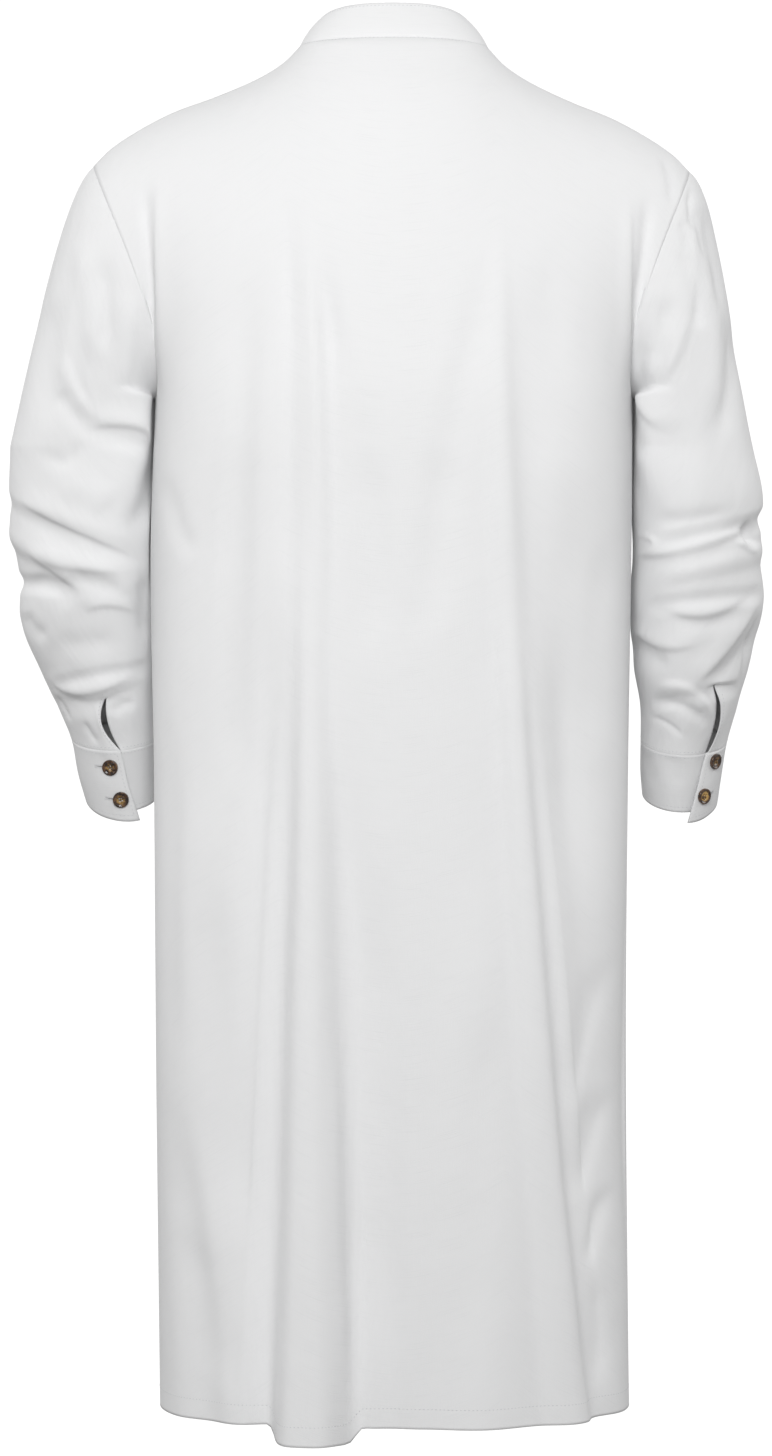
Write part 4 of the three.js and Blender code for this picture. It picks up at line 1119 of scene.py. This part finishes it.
# A small spindle of thread through three places with normals, its ends dipped into the cloth.
def spindle(points, faces, ends, lift):
    along = unit(ends[2][0] - ends[0][0])
    across = np.cross(ends[1][1], along) * thread["half"]
    middle = ends[1][0] + ends[1][1] * lift
    up = ends[1][1] * thread["half"] * thread["flat"]
    tips = [place - normal * thread["dip"] for place, normal in (ends[0], ends[2])]
    first = len(points)
    points += [tips[0], middle + across, middle + up, middle - across, middle - up, tips[1]]
    for corner in range(4):
        here, following = first + 1 + corner, first + 1 + (corner + 1) % 4
        faces += [(first, here, following), (first + 5, following, here)]


def sewnPiece(name, shell, points, faces, *materials):
    mesh = bpy.data.meshes.new(name)
    mesh.from_pydata((np.array(points) * mm).tolist(), [], faces)
    mesh.shade_smooth()
    for material in materials:
        mesh.materials.append(material)
    piece = bpy.data.objects.new(name, mesh)
    scene.collection.objects.link(piece)
    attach(piece, "root")
    sewing[shell].append(piece)
    return piece


# Short threads along a line over a shell, given by fractions of its rows and columns.
def stitchLine(name, shell, rows, columns):
    t = np.linspace(0, 1, thread["steps"])
    spots = np.linspace(0, 1, len(rows))
    line, normals = shellSpot(shell, np.interp(t, spots, rows), np.interp(t, spots, columns))
    length = arcLengths(line)
    count = max(int(length[-1] / (thread["stitch"] + thread["gap"])), 1)
    points, faces = [], []
    for start in (np.arange(count) + thread["first"]) * length[-1] / count:
        ends = []
        for at in (start, start + thread["stitch"] / 2, start + thread["stitch"]):
            place, normal = (np.array([np.interp(at, length, values[:, k]) for k in range(3)])
                             for values in (line, normals))
            ends.append((place, unit(normal)))
        spindle(points, faces, ends, thread["lift"])
    sewnPiece(name, shell, points, faces, stitchThreadPaintedShade)


# The fraction of a shell's rows that lies this far above its last one, down one column.
def rowAbove(shell, distance, column):
    grid = shells[shell]["grid"]
    length = arcLengths(grid[:, int(column * (grid.shape[1] - 1))])
    return float(np.interp(length[-1] - distance, length, np.linspace(0, 1, len(length))))


marks = np.linspace(*thread["hemEnds"], thread["hemMarks"])
for face in ("back", "front"):
    rows = [rowAbove(face + "_panel", cut["hem"], column) for column in marks]
    stitchLine("hem_stitches_" + face, face + "_panel", rows, marks)
# Each other line of stitches: its ends by fractions of the rows and of the columns of its shell.
neckEnd = body["neckShare"] / 2
seams = {
    "back_panel": {"neck_stitches_back": ((0.0055, 0.0055), (0.5 - neckEnd, 0.5 + neckEnd))},
    "front_panel": {
        "neck_stitches_front_left": ((0.006, 0.006), (0.53, 0.5 + neckEnd)),
        "neck_stitches_front_right": ((0.006, 0.006), (0.47, 0.5 - neckEnd)),
    },
    "collar_band": {
        "collar_stitches_lower": ((0.94, 0.94), (0.008, 0.992)),
        "collar_stitches_upper": ((0.07, 0.07), (0.008, 0.992)),
        "collar_stitches_left_end": ((0.94, 0.07), (0.992, 0.992)),
        "collar_stitches_right_end": ((0.94, 0.07), (0.008, 0.008)),
    },
    "placket_strip_top": {
        "placket_stitches_left": ((0.004, 0.993), (0.94, 0.94)),
        "placket_stitches_right": ((0.004, 0.993), (0.06, 0.06)),
        "placket_stitches_foot": ((0.993, 0.993), (0.06, 0.94)),
        "placket_stitches_bar": ((0.915, 0.915), (0.06, 0.94)),
        "placket_stitches_cross_a": ((0.915, 0.993), (0.06, 0.94)),
        "placket_stitches_cross_b": ((0.915, 0.993), (0.94, 0.06)),
    },
}
for side in sides:
    seams["cuff_band_" + side] = {
        "cuff_stitches_" + side + "_top": ((0.05, 0.05), (0.09, 0.985)),
        "cuff_stitches_" + side + "_foot": ((0.91, 0.91), (0.015, 0.985)),
        "cuff_stitches_" + side + "_over": ((0.05, 0.91), (0.985, 0.985)),
        "cuff_stitches_" + side + "_under": ((0.05, 0.91), (0.015, 0.015)),
    }
    seams["sleeve_cloth_" + side] = {
        "wrist_stitches_" + side: ((0.988, 0.988), (0.01, 0.99)),
        "slit_stitches_" + side: ((0.86, 0.985), (0.985, 0.985)),
    }
for shell, lines in seams.items():
    for name, line in lines.items():
        stitchLine(name, shell, *line)

print("buttons")
button = {
    "radius": 6.75, "thick": 3.0, "rim": 1.35, "slope": 0.7, "dish": 0.75, "hole": 0.85, "holeOff": 1.55,
    "drill": 8, "edge": 0.55, "edgeSteps": 4, "edgeFrom": 28, "sides": 48, "holeSides": 16,
    "foot": 0.35, "turn": 0.5, "nextTurn": 1.3,
}
buttonThread = {
    "bar": 0.22, "strand": 0.32, "apart": 1.1, "length": 3.7, "level": 2.45, "sides": 8,
    "shank": 1.5, "shankDepth": 2.2, "shankLevel": 0.2, "shankSides": 16,
}
hole = {
    "length": 17, "past": 3, "slit": 0.8, "stitch": 1.4, "gap": 0.75, "lift": 0.22, "inside": 0.12,
    "corner": 0.15,
}


def selectOnly(*pieces):
    bpy.ops.object.select_all(action="DESELECT")
    for piece in pieces:
        piece.select_set(True)
    bpy.context.view_layer.objects.active = pieces[0]


def addRod(sideCount, radius, depth, place, rotation=(0, 0, 0)):
    bpy.ops.mesh.primitive_cylinder_add(vertices=sideCount, radius=radius * mm, depth=depth * mm,
                                        location=[part * mm for part in place], rotation=rotation)
    return bpy.context.active_object


def applyAll(piece):
    selectOnly(piece)
    for modifier in list(piece.modifiers):
        bpy.ops.object.modifier_apply(modifier=modifier.name)


# A button with its foot on the origin and its face up: a disc with a rounded rim, a dish and four holes.
def modelButton():
    middle = button["thick"] / 2
    disc = addRod(button["sides"], button["radius"], button["thick"], (0, 0, middle))
    disc.name = "button_form"
    selectOnly(disc)
    bpy.ops.object.mode_set(mode="EDIT")
    bpy.ops.mesh.select_mode(type="FACE")
    bpy.ops.mesh.select_all(action="DESELECT")
    shape = bmesh.from_edit_mesh(disc.data)
    for face in shape.faces:
        face.select = face.normal.z > 0.9
    bmesh.update_edit_mesh(disc.data)
    bpy.ops.mesh.inset(thickness=button["rim"] * mm)
    bpy.ops.mesh.inset(thickness=button["slope"] * mm, depth=-button["dish"] * mm)
    bpy.ops.object.mode_set(mode="OBJECT")
    bevel = disc.modifiers.new("edge", "BEVEL")
    bevel.width = button["edge"] * mm
    bevel.segments = button["edgeSteps"]
    bevel.limit_method = "ANGLE"
    bevel.angle_limit = math.radians(button["edgeFrom"])
    applyAll(disc)
    for quarter in range(4):
        angle = math.pi / 4 + quarter * math.pi / 2
        place = (button["holeOff"] * math.cos(angle), button["holeOff"] * math.sin(angle), middle)
        drill = addRod(button["holeSides"], button["hole"], button["drill"], place)
        bore = disc.modifiers.new("hole", "BOOLEAN")
        bore.operation = "DIFFERENCE"
        bore.solver = "EXACT"
        bore.object = drill
        applyAll(disc)
        bpy.data.objects.remove(drill)
    disc.data.shade_smooth()
    return disc


# Threads through the four holes, side by side in two bars, and the shank of thread below.
def modelThreads():
    size = buttonThread
    rods = []
    for way in (-1, 1):
        for strand in (-1, 0, 1):
            place = (way * size["apart"] + strand * size["strand"], 0, size["level"])
            rods.append(addRod(size["sides"], size["bar"], size["length"], place, (math.pi / 2, 0, 0)))
    rods.append(addRod(size["shankSides"], size["shank"], size["shankDepth"], (0, 0, size["shankLevel"])))
    selectOnly(*rods)
    bpy.ops.object.join()
    threads = bpy.context.active_object
    threads.name = "button_thread_form"
    threads.data.shade_smooth()
    return threads


horn = {
    "dark": (0.022, 0.011, 0.007), "middle": (0.10, 0.045, 0.018), "gold": (0.52, 0.32, 0.10),
    "roughness": 0.22, "coat": 0.6, "clouds": 220.0, "brownFrom": (0.42, 0.62), "goldFrom": (0.62, 1.05),
    "pool": (0.0015, 0.0058), "shift": (0.37, 0.19, 0),
}


# Brown horn with paler, golden clouds towards the middle. Each button's clouds lie differently.
def hornMaterial(name, golden, count):
    settings = {"Roughness": horn["roughness"], "Coat Weight": horn["coat"]}
    material, paint, shader = newMaterial(name, settings)
    spot = paint.node("ShaderNodeTexCoord", {}, "UV")
    shift = [part * count for part in horn["shift"]]
    cloud = spot.node("ShaderNodeVectorMath", {0: spot, 1: shift}, operation="ADD").noise(horn["clouds"])
    inner = 1 - spot.node("ShaderNodeVectorMath", {0: spot}, 1, operation="LENGTH").step(*horn["pool"])
    pale = (cloud + inner * golden).step(*horn["goldFrom"])
    brown = cloud.step(*horn["brownFrom"]).mixed(horn["dark"], horn["middle"])
    pale.mixed(brown, horn["gold"]).to(shader.inputs["Base Color"])
    return material


def flatPlaces(piece):
    layer = piece.data.uv_layers.get("UVMap") or piece.data.uv_layers.new(name="UVMap")
    places = np.array([vertex.co[:2] for vertex in piece.data.vertices])
    corners = np.array([loop.vertex_index for loop in piece.data.loops])
    layer.data.foreach_set("uv", places[corners].astype(np.float32).reshape(-1))


# A slit with a ring of short stitches. It lies down the cloth, or across it and away from the edge. The slit
# itself is a dark strip, painted shade.
def addButtonhole(name, shell, spot, down):
    grid = shells[shell]["grid"]
    line, at = (grid[:, spot[1]], spot[0]) if down else (grid[spot[0]], spot[1])
    length = arcLengths(line)
    start = length[at] - (hole["length"] / 2 if down else hole["length"] - hole["past"])
    count = int(hole["length"] / hole["gap"])
    reach = start + np.linspace(0, hole["length"], count)
    moving = np.interp(reach, length, np.linspace(0, 1, len(line)))
    fixed = np.full(count, spot[1] / (grid.shape[1] - 1) if down else spot[0] / (grid.shape[0] - 1))
    places, normals = shellSpot(shell, *((moving, fixed) if down else (fixed, moving)))
    out = np.cross(normals, unit(np.gradient(places, axis=0)))
    points, faces = [], []
    for way in (-1, 1):
        for k in range(count):
            ends = [(places[k] + out[k] * way * (hole["slit"] / 2 + hole["stitch"] * share), normals[k])
                    for share in (0, 0.5, 1)]
            spindle(points, faces, ends, hole["lift"])
    threads = len(faces)
    first = len(points)
    rounded = np.sin(np.linspace(hole["corner"], math.pi - hole["corner"], count))[:, None]
    for way in (-1, 1):
        points += list(places + out * (hole["slit"] / 2 * rounded) * way + normals * hole["inside"])
    faces += [(first + k, first + k + 1, first + count + k + 1, first + count + k) for k in range(count - 1)]
    piece = sewnPiece(name, shell, points, faces, stitchThreadPaintedShade, slitPaintedShade)
    # The strip in the slit takes the dark material: painted shade.
    for face in piece.data.polygons[threads:]:
        face.material_index = 1


buttonForm = modelButton()
threadForm = modelThreads()
for form in (buttonForm, threadForm):
    flatPlaces(form)
# Each button's shell, and how golden its horn is.
seatOf = {
    "cuff_button_left_1": ("cuff_band_left", 0.35),
    "cuff_button_left_2": ("cuff_band_left", 0.42),
    "cuff_button_right_1": ("cuff_band_right", 0.35),
    "cuff_button_right_2": ("cuff_band_right", 1.1),
    "collar_button": ("collar_band", 0.5),
    "placket_button_1": ("placket_strip_top", 0.5),
    "placket_button_2": ("placket_strip_top", 0.45),
    "placket_button_3": ("placket_strip_top", 0.5),
    "placket_button_4": ("placket_strip_top", 0.4),
}


# A copy of a form at its seat, with its own mesh.
def seatForm(name, form, seat, material):
    piece = bpy.data.objects.new(name, form.data.copy())
    piece.data.transform(seat)
    scene.collection.objects.link(piece)
    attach(piece, "root")
    piece.data.materials.clear()
    piece.data.materials.append(material)
    return piece


def seatButton(node, shell, golden, count):
    low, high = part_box(node)
    grid = shells[shell]["grid"]
    away = np.linalg.norm(grid - np.array((low + high) / 2) / mm, axis=-1)
    spot = np.unravel_index(np.argmin(away), away.shape)
    normal = Vector(shells[shell]["normals"][spot])
    place = Vector(grid[spot]) + normal * button["foot"]
    turn = normal.to_track_quat("Z", "Y").to_matrix().to_4x4()
    spin = Matrix.Rotation(button["turn"] + count * button["nextTurn"], 4, "Z")
    seat = Matrix.Translation(place * mm) @ turn @ spin
    disc = seatForm(node + "_face", buttonForm, seat, hornMaterial("horn_" + node, golden, count))
    seatForm(node + "_thread", threadForm, seat, threadBrown)
    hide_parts(node)
    addButtonhole(node + "_hole", shell, spot, "placket" in node)


for count, (node, (shell, golden)) in enumerate(seatOf.items()):
    seatButton(node, shell, golden, count)
for form in (buttonForm, threadForm):
    bpy.data.objects.remove(form)
